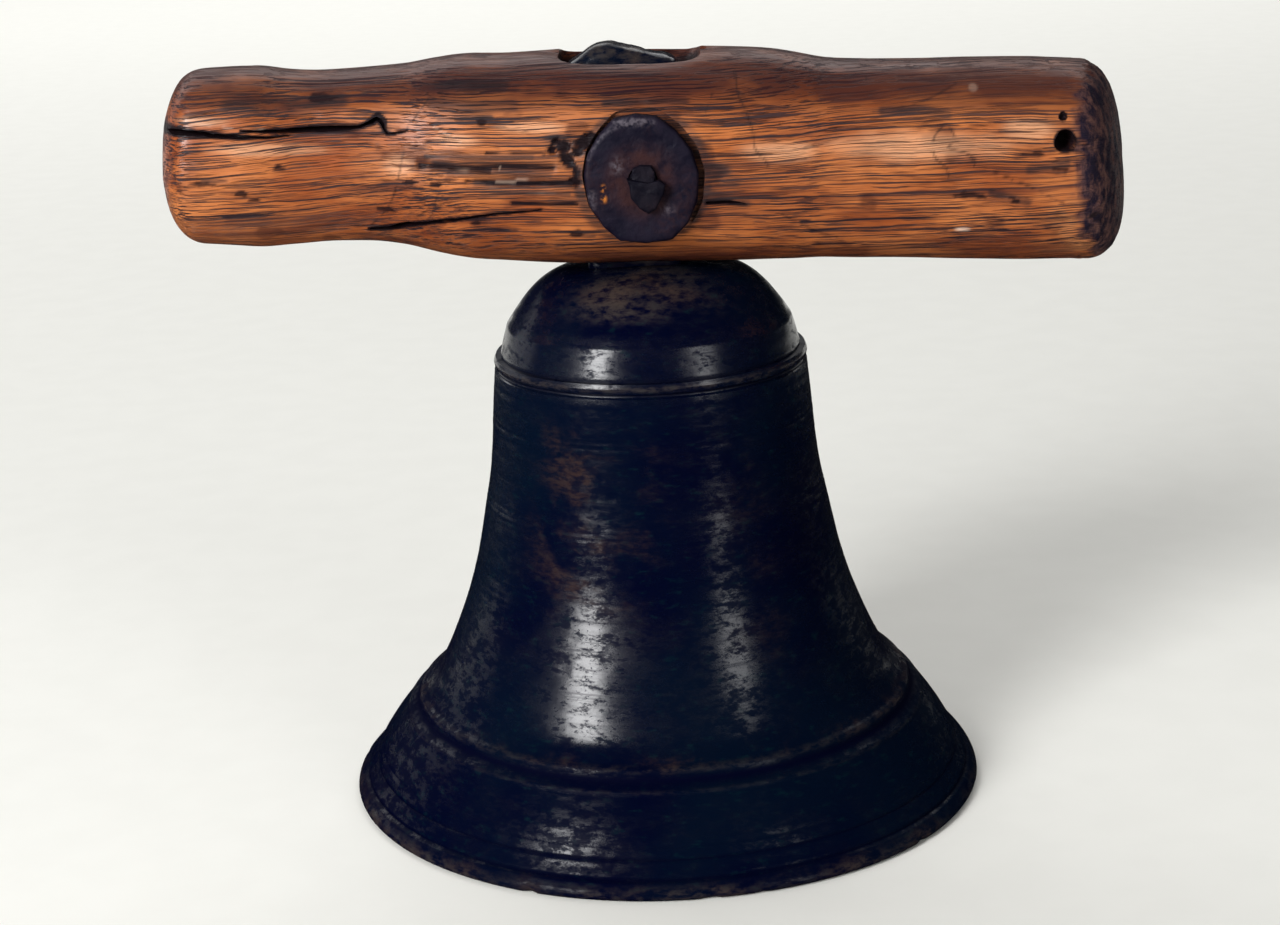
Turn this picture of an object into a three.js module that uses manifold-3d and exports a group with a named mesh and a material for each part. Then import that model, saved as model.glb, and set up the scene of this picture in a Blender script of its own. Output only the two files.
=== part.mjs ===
// Sanctus bell: a small cast bronze bell hung from a whittled oak cross handle.
// Millimetres. The origin is the centre of the mouth, +Z is up the bell's axis,
// +X runs along the handle and -Y is the front.
import * as THREE from 'three';
import { mergeVertices } from 'three/addons/utils/BufferGeometryUtils.js';
import Module from 'manifold-3d';

const GAP = 0.3;

// Bell casting
const MOUTH_RADIUS = 75;
const STANDING_RING = { inner: 69, outer: 73.2 };
const LIP_ROUND = 1.6;
const CROWN_HEIGHT = 124.5;
const CEILING_HEIGHT = 117.6;
const LOWER_WIRE = { radius: 61, height: 19.6, proud: 0.7, slope: 0.5, halfWidth: 0.9 };
const UPPER_WIRE = { radius: 57.6, height: 23.4, proud: 1, slope: 0.7, halfWidth: 0.9 };
const SHOULDER_GROOVE = { radius: 35.6, height: 101.4, halfWidth: 0.6 };
const SHOULDER_BEAD = { radius: 35.4, height: 103, proud: 0.5, slope: 0.15, halfWidth: 1.1 };
const SHOULDER_BAND = { bottom: 104.4, top: 110.8, bottomRadius: 34.6, topRadius: 32.6 };

// Argent: the flat loop cast on the crown, which the cross pin goes through
const ARGENT = { left: -13.3, right: 8.3, thickness: 12, base: 120.5, foot: 2.5, footTop: 124.2 };
const ARGENT_HUMP = { shoulder: 168.5, corner: 4, peakX: -7.2, peak: 174.2 };
const ARGENT_HOLE_RADIUS = 5.4;

// Cross pin and roves, in the handle's frame, whose origin is the middle of the pin
const PIN_HEIGHT = 146.7;
const PIN_RADIUS = 4;
const PIN_HEAD = { width: 8.4, height: 9.7, thickness: 2.2, spread: 0.6, sides: 6 };
const ROVE = { sides: 10, radius: 13.9, faceRadius: 12.6, thickness: 3, bevel: 1.4 };
const ROVE_SEAT = 20.2;

// Oak handle: stations from end to end, with half its thickness and its rise above the axis
const HANDLE_TILT = THREE.MathUtils.degToRad(2.6);
const HANDLE_AXIS_RISE = 1.8;
const HANDLE_ENDS = { left: -108.6, right: 108.4 };
const HANDLE_STATIONS = [
  { x: -108.6, half: 19.2, rise: -0.3 },
  { x: -86, half: 20.2, rise: 0.1 },
  { x: -66, half: 18.8, rise: 0.2 },
  { x: -53, half: 20, rise: 0.3 },
  { x: -39, half: 22.6, rise: 0 },
  { x: -20, half: 23.4, rise: -0.3 },
  { x: 6, half: 23.8, rise: 0.4 },
  { x: 26, half: 23.5, rise: 0.4 },
  { x: 40, half: 22.3, rise: -0.3 },
  { x: 60, half: 22.1, rise: -0.5 },
  { x: 84, half: 22.6, rise: -0.4 },
  { x: 108.4, half: 21.8, rise: -0.6 },
];
const HANDLE_DEPTH_RATIO = 0.95;
const HANDLE_SQUARENESS = 2.4;
const HANDLE_END_ROUND = { length: 10, squareness: 2.8, slant: 0.07, from: 87 };
const MORTISE = { left: -17.7, right: 9.8, width: 15.4, corner: 3 };

// Crown staple and clapper, which hang inside the bell
const STAPLE = { halfSpan: 8, rodRadius: 2.5, archCentre: 112, legTop: 121.2 };
const PIVOT_HEIGHT = STAPLE.archCentre - STAPLE.halfSpan;
const CLAPPER_EYE = { radius: 5.3, rod: 2.1 };
const CLAPPER_BALL = { radius: 10, height: 16 };
const CLAPPER_FLIGHT = { radius: 3, height: 2.8, edge: 0.7 };
const CLAPPER_SHANK = { topRadius: 2.4, bottomRadius: 3.6, top: 99.5 };

const BELL_SEGMENTS = 44;
const ROUND_SEGMENTS = 24;
const HANDLE_SEGMENTS = 32;
const CUT_LENGTH = 80;
const MERGE_TOLERANCE = 1e-4;

const wasm = await Module();
wasm.setup();

function toSolid(geometry) {
  const bare = geometry.clone();
  bare.deleteAttribute('normal');
  bare.deleteAttribute('uv');
  const merged = mergeVertices(bare, MERGE_TOLERANCE);
  return new wasm.Manifold(new wasm.Mesh({
    numProp: 3,
    vertProperties: new Float32Array(merged.attributes.position.array),
    triVerts: new Uint32Array(merged.index.array),
  }));
}

function toGeometry(solid) {
  const mesh = solid.getMesh();
  const geometry = new THREE.BufferGeometry();
  geometry.setAttribute('position', new THREE.BufferAttribute(mesh.vertProperties, 3));
  geometry.setIndex(new THREE.BufferAttribute(mesh.triVerts, 1));
  geometry.computeVertexNormals();
  return geometry;
}

// A profile of (radius, height) points turned about the Z axis.
function latheUpright(points, segments) {
  return new THREE.LatheGeometry(points, segments).rotateX(Math.PI / 2);
}

// A shape drawn in X and Z, thickened evenly to both sides of the XZ plane.
function extrudeAcross(shape, thickness) {
  const geometry = new THREE.ExtrudeGeometry(shape, {
    depth: thickness, bevelEnabled: false, curveSegments: 10,
  });
  return geometry.translate(0, 0, -thickness / 2).rotateX(Math.PI / 2);
}

function cylinderAlongY(radius, length, segments = ROUND_SEGMENTS) {
  return new THREE.CylinderGeometry(radius, radius, length, segments);
}

function points(pairs) {
  return pairs.map(([x, y]) => new THREE.Vector2(x, y));
}

// A raised wire: a rounded bump, whose control point is twice as far out as its crest.
function addWire(path, { radius, height, proud, slope, halfWidth }) {
  path.lineTo(radius + slope, height - halfWidth);
  path.quadraticCurveTo(radius + 2 * proud, height, radius - slope, height + halfWidth);
}

function bellOuterPath() {
  const path = new THREE.Path();
  path.moveTo(STANDING_RING.inner, 0);
  path.lineTo(STANDING_RING.outer, 0);
  path.quadraticCurveTo(MOUTH_RADIUS, 0, MOUTH_RADIUS, LIP_ROUND);
  path.splineThru(points([[72.6, 4.5], [68.8, 10], [64.5, 16]]));
  addWire(path, LOWER_WIRE);
  addWire(path, UPPER_WIRE);
  path.splineThru(points([
    [53.7, 28], [49.3, 37], [45.5, 47], [42, 60], [38.9, 76], [37.1, 92],
    [36.4, SHOULDER_GROOVE.height - SHOULDER_GROOVE.halfWidth],
  ]));
  path.lineTo(SHOULDER_GROOVE.radius, SHOULDER_GROOVE.height);
  addWire(path, SHOULDER_BEAD);
  path.lineTo(SHOULDER_BAND.bottomRadius, SHOULDER_BAND.bottom);
  path.quadraticCurveTo(
    SHOULDER_BAND.bottomRadius, (SHOULDER_BAND.bottom + SHOULDER_BAND.top) / 2,
    SHOULDER_BAND.topRadius, SHOULDER_BAND.top,
  );
  path.splineThru(points([
    [30.3, 115], [27.7, 118], [24.6, 121], [20, 123.2], [13, 124.1], [0, CROWN_HEIGHT],
  ]));
  return path;
}

function bellInnerPath() {
  const path = new THREE.Path();
  path.moveTo(0, CEILING_HEIGHT);
  path.splineThru(points([
    [10, 117.2], [20, 115.2], [26, 111.5], [29.5, 106.5], [31.2, 100], [32.4, 90],
    [34.4, 75], [37.4, 60], [40.6, 48], [44.6, 36], [47.6, 28], [51.6, 21], [56.6, 14],
    [62.5, 7], [67.6, 0.9], [STANDING_RING.inner, 0],
  ]));
  return path;
}

function bellShell() {
  const inner = bellInnerPath().getPoints(1);
  const outer = bellOuterPath().getPoints(2);
  outer.shift();
  return latheUpright([...inner, ...outer], BELL_SEGMENTS);
}

function argentShape() {
  const { left, right, base, foot, footTop } = ARGENT;
  const { shoulder, corner, peakX, peak } = ARGENT_HUMP;
  const shape = new THREE.Shape();
  shape.moveTo(left - foot, base);
  shape.lineTo(right + foot, base);
  shape.quadraticCurveTo(right, base, right, footTop);
  shape.lineTo(right, shoulder - corner);
  shape.quadraticCurveTo(right, shoulder, right - corner, shoulder);
  shape.quadraticCurveTo(peakX + corner, peak, peakX, peak);
  shape.quadraticCurveTo(left, peak, left, shoulder);
  shape.lineTo(left, footTop);
  shape.quadraticCurveTo(left, base, left - foot, base);
  const hole = new THREE.Path();
  hole.absarc(0, PIN_HEIGHT, ARGENT_HOLE_RADIUS, 0, 2 * Math.PI, true);
  shape.holes.push(hole);
  return shape;
}

// The line of the staple: straight legs down from the crown and a half-round bow.
function stapleCurve() {
  const bowSteps = 8;
  const legs = [-1, 1].map((side) => new THREE.Vector3(side * STAPLE.halfSpan, 0, STAPLE.legTop));
  const bow = [];
  for (let i = 0; i <= bowSteps; i += 1) {
    const angle = Math.PI + (Math.PI * i) / bowSteps;
    bow.push(new THREE.Vector3(
      STAPLE.halfSpan * Math.cos(angle),
      0,
      STAPLE.archCentre + STAPLE.halfSpan * Math.sin(angle),
    ));
  }
  return new THREE.CatmullRomCurve3([legs[0], ...bow, legs[1]], false, 'centripetal');
}

function bellGeometry() {
  let bell = toSolid(bellShell());
  bell = bell.add(toSolid(extrudeAcross(argentShape(), ARGENT.thickness)));
  for (const side of [-1, 1]) {
    const depth = STAPLE.legTop + GAP - STAPLE.archCentre;
    const socket = new THREE.CylinderGeometry(
      STAPLE.rodRadius + GAP, STAPLE.rodRadius + GAP, depth, ROUND_SEGMENTS,
    );
    socket.rotateX(Math.PI / 2);
    socket.translate(side * STAPLE.halfSpan, 0, STAPLE.archCentre + depth / 2);
    bell = bell.subtract(toSolid(socket));
  }
  return toGeometry(bell);
}

function stapleGeometry() {
  const section = new THREE.Shape();
  section.absarc(0, 0, STAPLE.rodRadius, 0, 2 * Math.PI, false);
  return new THREE.ExtrudeGeometry(section, {
    extrudePath: stapleCurve(),
    steps: 30,
    curveSegments: 5,
    bevelEnabled: false,
  });
}

function clapperPath() {
  const { radius, height } = CLAPPER_BALL;
  const path = new THREE.Path();
  path.moveTo(0, CLAPPER_FLIGHT.height);
  path.lineTo(CLAPPER_FLIGHT.radius - CLAPPER_FLIGHT.edge, CLAPPER_FLIGHT.height);
  path.lineTo(CLAPPER_FLIGHT.radius, CLAPPER_FLIGHT.height + CLAPPER_FLIGHT.edge);
  const start = -Math.acos(CLAPPER_FLIGHT.radius / radius);
  const end = Math.acos(CLAPPER_SHANK.bottomRadius / radius);
  path.absarc(0, height, radius, start, end, false);
  path.lineTo(CLAPPER_SHANK.topRadius, CLAPPER_SHANK.top);
  path.lineTo(0, CLAPPER_SHANK.top);
  return path;
}

function clapperGeometry() {
  const shank = latheUpright(clapperPath().getPoints(7), ROUND_SEGMENTS);
  const eye = new THREE.TorusGeometry(CLAPPER_EYE.radius, CLAPPER_EYE.rod, 10, ROUND_SEGMENTS);
  eye.rotateY(Math.PI / 2);
  eye.translate(0, 0, PIVOT_HEIGHT);
  return toGeometry(toSolid(shank).add(toSolid(eye)));
}

// Half thickness and rise at any station along the handle, on smooth curves.
const BISECTIONS = 24;
const handleSide = new THREE.SplineCurve(points(HANDLE_STATIONS.map((s) => [s.x, s.half])));
const handleRise = new THREE.SplineCurve(points(HANDLE_STATIONS.map((s) => [s.x, s.rise])));

function valueAt(curve, x) {
  let low = 0;
  let high = 1;
  for (let step = 0; step < BISECTIONS; step += 1) {
    const middle = (low + high) / 2;
    if (curve.getPoint(middle).x < x) low = middle;
    else high = middle;
  }
  return curve.getPoint(low).y;
}

// One quarter of a rounded square: power is 2 for a circle and larger for flatter sides.
function rounded(value, power) {
  return Math.sign(value) * Math.abs(value) ** (2 / power);
}

// A unit bar: full width along its length, closing to a point at each rounded end.
function handleUnitProfile() {
  const { length, squareness } = HANDLE_END_ROUND;
  const endSteps = 5;
  const bodySteps = 22;
  const end = [];
  for (let i = 0; i <= endSteps; i += 1) {
    const angle = (Math.PI / 2) * (i / endSteps);
    end.push([rounded(Math.sin(angle), squareness), length * rounded(Math.cos(angle), squareness)]);
  }
  const first = HANDLE_ENDS.left + length;
  const last = HANDLE_ENDS.right - length;
  const profile = end.map(([r, out]) => new THREE.Vector2(r, first - out));
  for (let i = 1; i < bodySteps; i += 1) {
    profile.push(new THREE.Vector2(1, THREE.MathUtils.lerp(first, last, i / bodySteps)));
  }
  end.reverse();
  profile.push(...end.map(([r, out]) => new THREE.Vector2(r, last + out)));
  return profile;
}

// 0 over the body of the handle, growing to 1 at either end.
function endShare(along) {
  return THREE.MathUtils.smoothstep(Math.abs(along), HANDLE_END_ROUND.from, HANDLE_ENDS.right);
}

function handleBlank() {
  const geometry = new THREE.LatheGeometry(handleUnitProfile(), HANDLE_SEGMENTS);
  const position = geometry.attributes.position;
  for (let i = 0; i < position.count; i += 1) {
    const along = position.getY(i);
    const across = position.getX(i);
    const up = position.getZ(i);
    const reach = Math.hypot(across, up);
    const half = valueAt(handleSide, along);
    const cosine = reach > 0 ? across / reach : 0;
    const sine = reach > 0 ? up / reach : 0;
    const slant = Math.sign(along) * HANDLE_END_ROUND.slant * endShare(along);
    position.setXYZ(
      i,
      along - slant * half * up,
      -half * HANDLE_DEPTH_RATIO * reach * rounded(cosine, HANDLE_SQUARENESS),
      HANDLE_AXIS_RISE + valueAt(handleRise, along) + half * reach * rounded(sine, HANDLE_SQUARENESS),
    );
  }
  return geometry;
}

function mortiseCut() {
  const { left, right, width, corner } = MORTISE;
  const shape = new THREE.Shape();
  shape.moveTo(left + corner, -width / 2);
  shape.lineTo(right - corner, -width / 2);
  shape.quadraticCurveTo(right, -width / 2, right, corner - width / 2);
  shape.lineTo(right, width / 2 - corner);
  shape.quadraticCurveTo(right, width / 2, right - corner, width / 2);
  shape.lineTo(left + corner, width / 2);
  shape.quadraticCurveTo(left, width / 2, left, width / 2 - corner);
  shape.lineTo(left, corner - width / 2);
  shape.quadraticCurveTo(left, -width / 2, left + corner, -width / 2);
  const geometry = new THREE.ExtrudeGeometry(shape, {
    depth: CUT_LENGTH, bevelEnabled: false, curveSegments: 4,
  });
  return geometry.translate(0, 0, -CUT_LENGTH / 2);
}

function handleGeometry() {
  let handle = toSolid(handleBlank()).subtract(toSolid(mortiseCut()));
  handle = handle.subtract(toSolid(cylinderAlongY(PIN_RADIUS + GAP, CUT_LENGTH)));
  for (const side of [-1, 1]) {
    const seat = cylinderAlongY(ROVE.radius + GAP, CUT_LENGTH, 2 * ROUND_SEGMENTS);
    seat.translate(0, side * (ROVE_SEAT + CUT_LENGTH / 2), 0);
    handle = handle.subtract(toSolid(seat));
  }
  return toGeometry(handle);
}

// A hand-cut washer with its worn edge outwards, which is +Y here.
function roveGeometry() {
  const { sides, radius, faceRadius, thickness, bevel } = ROVE;
  const hole = PIN_RADIUS + 2 * GAP;
  const profile = points([
    [hole, 0], [radius, 0], [radius, thickness - bevel], [faceRadius, thickness], [hole, thickness],
    [hole, 0],
  ]);
  return new THREE.LatheGeometry(profile, sides);
}

function pinGeometry() {
  const seat = ROVE_SEAT + ROVE.thickness + 2 * GAP;
  let pin = toSolid(cylinderAlongY(PIN_RADIUS, 2 * seat + PIN_HEAD.thickness));
  for (const side of [-1, 1]) {
    const head = new THREE.CylinderGeometry(
      PIN_HEAD.height / 2, PIN_HEAD.height / 2 + PIN_HEAD.spread, PIN_HEAD.thickness, PIN_HEAD.sides,
    );
    head.scale(PIN_HEAD.width / PIN_HEAD.height, 1, 1);
    head.rotateX(side > 0 ? 0 : Math.PI);
    head.translate(0, side * (seat + PIN_HEAD.thickness / 2), 0);
    pin = pin.add(toSolid(head));
  }
  return toGeometry(pin);
}

const bronze = { color: 0x1c1f26, roughness: 0.38, metalness: 0.85 };
const oak = { color: 0xa3602a, roughness: 0.5, metalness: 0 };
const iron = { color: 0x35272a, roughness: 0.7, metalness: 0.6 };

function subPart(name, geometry, finish) {
  const mesh = new THREE.Mesh(geometry, new THREE.MeshStandardMaterial(finish));
  mesh.name = name;
  return mesh;
}

function rove(name, side) {
  const mesh = subPart(name, roveGeometry(), iron);
  mesh.position.y = side * (ROVE_SEAT + GAP);
  mesh.rotation.z = side > 0 ? 0 : Math.PI;
  return mesh;
}

// The handle lies loose on its pin, so its heavier right end has come down on the crown.
const handleGroup = new THREE.Group();
handleGroup.position.z = PIN_HEIGHT;
handleGroup.rotation.y = HANDLE_TILT;
handleGroup.add(subPart('handle', handleGeometry(), oak));
handleGroup.add(subPart('cross_pin', pinGeometry(), iron));
handleGroup.add(rove('rove_front', -1));
handleGroup.add(rove('rove_rear', 1));

const sanctusBell = new THREE.Group();
sanctusBell.add(subPart('bell', bellGeometry(), bronze));
sanctusBell.add(subPart('crown_staple', stapleGeometry(), iron));
sanctusBell.add(subPart('clapper', clapperGeometry(), iron));
sanctusBell.add(handleGroup);

export default sanctusBell;
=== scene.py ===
import math

import bmesh
import bpy
import numpy as np
from mathutils import Matrix, Vector


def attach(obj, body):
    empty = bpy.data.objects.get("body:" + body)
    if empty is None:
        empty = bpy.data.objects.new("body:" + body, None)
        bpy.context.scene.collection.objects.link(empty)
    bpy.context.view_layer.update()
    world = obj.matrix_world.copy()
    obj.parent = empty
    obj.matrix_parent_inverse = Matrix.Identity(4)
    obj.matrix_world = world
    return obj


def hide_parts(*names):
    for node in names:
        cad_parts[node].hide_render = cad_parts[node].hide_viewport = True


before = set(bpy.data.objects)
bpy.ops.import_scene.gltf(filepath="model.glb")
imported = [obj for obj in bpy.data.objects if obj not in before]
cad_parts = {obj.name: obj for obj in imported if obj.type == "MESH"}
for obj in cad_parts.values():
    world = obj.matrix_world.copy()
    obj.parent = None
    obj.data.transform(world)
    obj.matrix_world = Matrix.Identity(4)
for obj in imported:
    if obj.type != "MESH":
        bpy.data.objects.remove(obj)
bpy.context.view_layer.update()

MM = 0.001

PIN_HEIGHT = 146.7
HANDLE_TILT = math.radians(2.6)
HANDLE_FRAME = Matrix.Translation((0, 0, PIN_HEIGHT)) @ Matrix.Rotation(HANDLE_TILT, 4, "Y")
PIN_RADIUS = 4
PIN_NECK = 2.9
ROVE_SEAT = 20.2
ROVE_THICKNESS = 3
GAP = 0.3


# ---------------------------------------------------------------- noise, curves and meshes

def lattice(ix, iy, iz, seed):
    """A fixed pseudo-random number from -1 to 1 for each lattice point."""
    n = (ix * 73856093) ^ (iy * 19349663) ^ (iz * 83492791) ^ (seed * 26544357)
    n = ((n ^ (n >> 13)) * 1274126177) & 0x7FFFFFFF
    n = n ^ (n >> 15)
    return (n & 0xFFFF) / 32767.5 - 1


def value_noise(points, cell, seed):
    """Smooth noise from -1 to 1; cell is the size of one lattice cell, a number or one per axis."""
    q = points / np.asarray(cell, dtype=float)
    base = np.floor(q).astype(np.int64)
    f = q - base
    f = f * f * (3 - 2 * f)
    total = np.zeros(len(points))
    for corner in range(8):
        step = np.array([corner & 1, (corner >> 1) & 1, corner >> 2])
        weight = np.prod(np.where(step, f, 1 - f), axis=1)
        total += weight * lattice(*(base + step).T, seed)
    return total


def fractal(points, cell, seed, octaves=3):
    total = np.zeros(len(points))
    for octave in range(octaves):
        share = 2 ** octave
        total += value_noise(points, np.asarray(cell) / share, seed + octave) / share
    return total


def smoothstep(x, low, high):
    t = np.clip((x - low) / (high - low), 0, 1)
    return t * t * (3 - 2 * t)


def fade(x, low, high):
    return 1 - smoothstep(x, low, high)


def hump(x, centre, half_width):
    """A smooth bump of height 1 that reaches 0 at half_width on either side."""
    return fade(np.abs(x - centre), 0, half_width)


def bands(x, *rows):
    """A sum of humps, each given as its middle, half width and height."""
    return sum(height * hump(x, centre, half_width) for centre, half_width, height in rows)


def highest(first, *others):
    for other in others:
        first = np.maximum(first, other)
    return first


def beside(*columns):
    return np.stack(columns, axis=1)


def full_turn(count):
    return np.linspace(0, 2 * math.pi, count, endpoint=False)


def circle(count):
    angle = full_turn(count)
    return beside(np.cos(angle), np.sin(angle))


def lengths(vectors):
    return np.linalg.norm(vectors, axis=1)


def unit(vectors, least=0):
    """Vectors made 1 long, or 0 where they are no longer than least."""
    reach = lengths(vectors)[:, None]
    return np.divide(vectors, reach, out=np.zeros_like(vectors), where=reach > least)


def cubic(stations, x):
    """A Catmull-Rom curve through (x, value) stations, read at x."""
    xs, ys = np.array(stations, dtype=float).T
    slope = np.gradient(ys, xs)
    i = np.clip(np.searchsorted(xs, x) - 1, 0, len(xs) - 2)
    h = xs[i + 1] - xs[i]
    t = np.clip((x - xs[i]) / h, 0, 1)
    a, b = 2 * t ** 3 - 3 * t ** 2 + 1, -2 * t ** 3 + 3 * t ** 2
    c, d = t ** 3 - 2 * t ** 2 + t, t ** 3 - t ** 2
    return a * ys[i] + b * ys[i + 1] + h * (c * slope[i] + d * slope[i + 1])


def smooth_line(points, per_span=24):
    """A centripetal Catmull-Rom line through 2-D or 3-D points."""
    p = np.array(points, dtype=float)
    p = np.vstack([2 * p[0] - p[1], p, 2 * p[-1] - p[-2]])
    out = []
    for a, b, c, d in zip(p[:-3], p[1:-2], p[2:-1], p[3:]):
        k1 = math.sqrt(np.linalg.norm(b - a))
        k2 = k1 + math.sqrt(np.linalg.norm(c - b))
        k3 = k2 + math.sqrt(np.linalg.norm(d - c))
        t = np.linspace(k1, k2, per_span, endpoint=False)[:, None]
        ab = a * (k1 - t) / k1 + b * t / k1
        bc = b * (k2 - t) / (k2 - k1) + c * (t - k1) / (k2 - k1)
        cd = c * (k3 - t) / (k3 - k2) + d * (t - k2) / (k3 - k2)
        abc = ab * (k2 - t) / k2 + bc * t / k2
        bcd = bc * (k3 - t) / (k3 - k1) + cd * (t - k1) / (k3 - k1)
        out.append(abc * (k2 - t) / (k2 - k1) + bcd * (t - k1) / (k2 - k1))
    return np.vstack(out + [p[-2:-1]])


def even_steps(line, step):
    """The same line with points about one step apart."""
    reach = np.concatenate([[0], np.cumsum(lengths(np.diff(line, axis=0)))])
    count = max(2, int(round(reach[-1] / step)) + 1)
    at = np.linspace(0, reach[-1], count)
    return np.stack([np.interp(at, reach, line[:, k]) for k in range(line.shape[1])], axis=1)


def move_mesh(mesh, matrix):
    """Moves a mesh by a matrix whose offset is in millimetres."""
    place = matrix.copy()
    place.translation *= MM
    mesh.transform(place)


def new_object(name, data):
    made = bpy.data.objects.new(name, data)
    bpy.context.scene.collection.objects.link(made)
    return made


def add_object(name, points_mm, faces, matrix=None):
    mesh = bpy.data.meshes.new(name)
    mesh.from_pydata((np.asarray(points_mm) * MM).tolist(), [], [list(map(int, f)) for f in faces])
    if matrix is not None:
        move_mesh(mesh, matrix)
    mesh.update()
    return new_object(name, mesh)


def loft_faces(rows, columns):
    """Quads between closed rings of vertices, and fans to the two poles that follow the rings."""
    k = np.arange(columns)
    nxt = (k + 1) % columns
    faces = []
    for row in range(rows - 1):
        a, b = row * columns, (row + 1) * columns
        faces.extend(beside(a + k, a + nxt, b + nxt, b + k).tolist())
    pole = np.full(columns, rows * columns)
    last = (rows - 1) * columns
    faces.extend(beside(pole, nxt, k).tolist())
    faces.extend(beside(pole + 1, last + k, last + nxt).tolist())
    return faces


def lathe(name, profile, columns, shape):
    """Turns a (radius, height) profile, whose ends lie on the axis, about Z. shape moves the points."""
    body = profile[1:-1]
    flat = (body[:, None, :1] * circle(columns)[None]).reshape(-1, 2)
    points = np.concatenate([flat, np.repeat(body[:, 1], columns)[:, None]], axis=1)
    poles = [(0, 0, profile[0, 1]), (0, 0, profile[-1, 1])]
    return add_object(name, shape(np.vstack([points, poles])), loft_faces(len(body), columns))


def tube(name, path, radii, columns):
    """A closed tube along a path in the plane of X and Z, with a radius at each point."""
    across = np.array([0, 1, 0])
    out = np.cross(unit(np.gradient(path, axis=0)), across)
    cosine, sine = circle(columns).T[:, None, :, None]
    rings = path[:, None] + radii[:, None, None] * (cosine * out[:, None] + sine * across)
    points = np.vstack([rings.reshape(-1, 3), path[:1], path[-1:]])
    return add_object(name, points, loft_faces(len(path), columns))


def prism(name, outline, rings, matrix=None):
    """A closed solid from one outline in X and Z, repeated at each (y, scale) of rings."""
    n = len(outline)
    points = []
    for y, scale in rings:
        flat = outline * scale
        points.append(beside(flat[:, 0], np.full(n, y), flat[:, 1]))
    points.append([[0, rings[0][0], 0], [0, rings[-1][0], 0]])
    return add_object(name, np.vstack(points), loft_faces(len(rings), n), matrix)


def face_out(piece):
    """Turns the faces of a closed piece outwards."""
    bm = bmesh.new()
    bm.from_mesh(piece.data)
    bmesh.ops.recalc_face_normals(bm, faces=bm.faces)
    bm.to_mesh(piece.data)
    bm.free()


def combine(piece, other, operation="DIFFERENCE"):
    """Cuts or joins a second closed solid, which is used up."""
    for solid in (piece, other):
        face_out(solid)
    step = piece.modifiers.new("combine", "BOOLEAN")
    step.operation = operation
    step.solver = "MANIFOLD"
    step.object = other
    graph = bpy.context.evaluated_depsgraph_get()
    result = bpy.data.meshes.new_from_object(piece.evaluated_get(graph))
    piece.modifiers.clear()
    piece.data = result
    bpy.data.objects.remove(other)


def read_vectors(items, key):
    flat = np.empty(len(items) * 3)
    items.foreach_get(key, flat)
    return flat.reshape(-1, 3)


def points_of(piece):
    """The vertices of a piece in millimetres."""
    return read_vectors(piece.data.vertices, "co") / MM


def move_points(piece, points):
    piece.data.vertices.foreach_set("co", (points * MM).ravel())
    piece.data.update()


def paint(piece, **layers):
    """Stores numbers from 0 to 1 at the vertices, which the materials read by name."""
    for name, values in layers.items():
        layer = piece.data.attributes.new(name, "FLOAT", "POINT")
        layer.data.foreach_set("value", np.clip(values, 0, 1).astype(np.float32))


# ---------------------------------------------------------------- shader nodes

def put(tree, socket, value):
    """Links an input to a socket, or sets it to a number, vector or color."""
    if isinstance(value, bpy.types.NodeSocket):
        tree.links.new(value, socket)
    elif socket.type == "RGBA":
        socket.default_value = (*value, 1)
    else:
        socket.default_value = value


class Shader:
    """A material's node tree, with a short call for each kind of node."""

    def __init__(self, name):
        self.material = bpy.data.materials.new(name)
        self.material.use_nodes = True
        self.tree = self.material.node_tree
        self.place = self.node("ShaderNodeTexCoord").outputs["Object"]
        self.turn = 0

    def node(self, kind, **settings):
        made = self.tree.nodes.new(kind)
        for key, value in settings.items():
            setattr(made, key, value)
        return made

    def fill(self, made, **inputs):
        """Sets or links inputs by name, with _ for a space in the name."""
        for name, value in inputs.items():
            put(self.tree, made.inputs[name.replace("_", " ")], value)

    def noise(self, stretch, detail, rough, distortion=0):
        """Noise with this many cells in a metre along each axis, after turning about Y."""
        fitted = self.node("ShaderNodeMapping")
        self.fill(fitted, Vector=self.place, Rotation=(0, self.turn, 0), Scale=stretch)
        made = self.node("ShaderNodeTexNoise")
        self.fill(made, Vector=fitted.outputs["Vector"], Scale=1, Detail=detail)
        self.fill(made, Roughness=rough, Distortion=distortion)
        return made.outputs["Fac"]

    def band(self, value, low, high, to_low=0, to_high=1):
        """Maps value from low..high onto to_low..to_high, smoothly and clamped."""
        made = self.node("ShaderNodeMapRange", interpolation_type="SMOOTHSTEP")
        self.fill(made, Value=value, From_Min=low, From_Max=high, To_Min=to_low, To_Max=to_high)
        return made.outputs["Result"]

    def math(self, operation, first, *others):
        for other in others:
            made = self.node("ShaderNodeMath", operation=operation)
            put(self.tree, made.inputs[0], first)
            put(self.tree, made.inputs[1], other)
            first = made.outputs[0]
        return first

    def times(self, *values):
        return self.math("MULTIPLY", *values)

    def plus(self, *values):
        return self.math("ADD", *values)

    def most(self, *values):
        return self.math("MAXIMUM", *values)

    def mix(self, factor, a, b):
        made = self.node("ShaderNodeMix", data_type="RGBA")
        for index, value in ((0, factor), (6, a), (7, b)):
            put(self.tree, made.inputs[index], value)
        return made.outputs[2]

    def painted(self, name):
        return self.node("ShaderNodeAttribute", attribute_name=name).outputs["Fac"]

    def finish(self, color, roughness, height, depth_mm, metallic, specular):
        """Fills the shader, with height as bumps that are depth_mm deep."""
        bump = self.node("ShaderNodeBump")
        self.fill(bump, Height=height, Distance=depth_mm * MM)
        principled = self.tree.nodes["Principled BSDF"]
        self.fill(principled, Base_Color=color, Roughness=roughness, Normal=bump.outputs["Normal"])
        self.fill(principled, Metallic=metallic, Specular_IOR_Level=specular)
        return self.material


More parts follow.
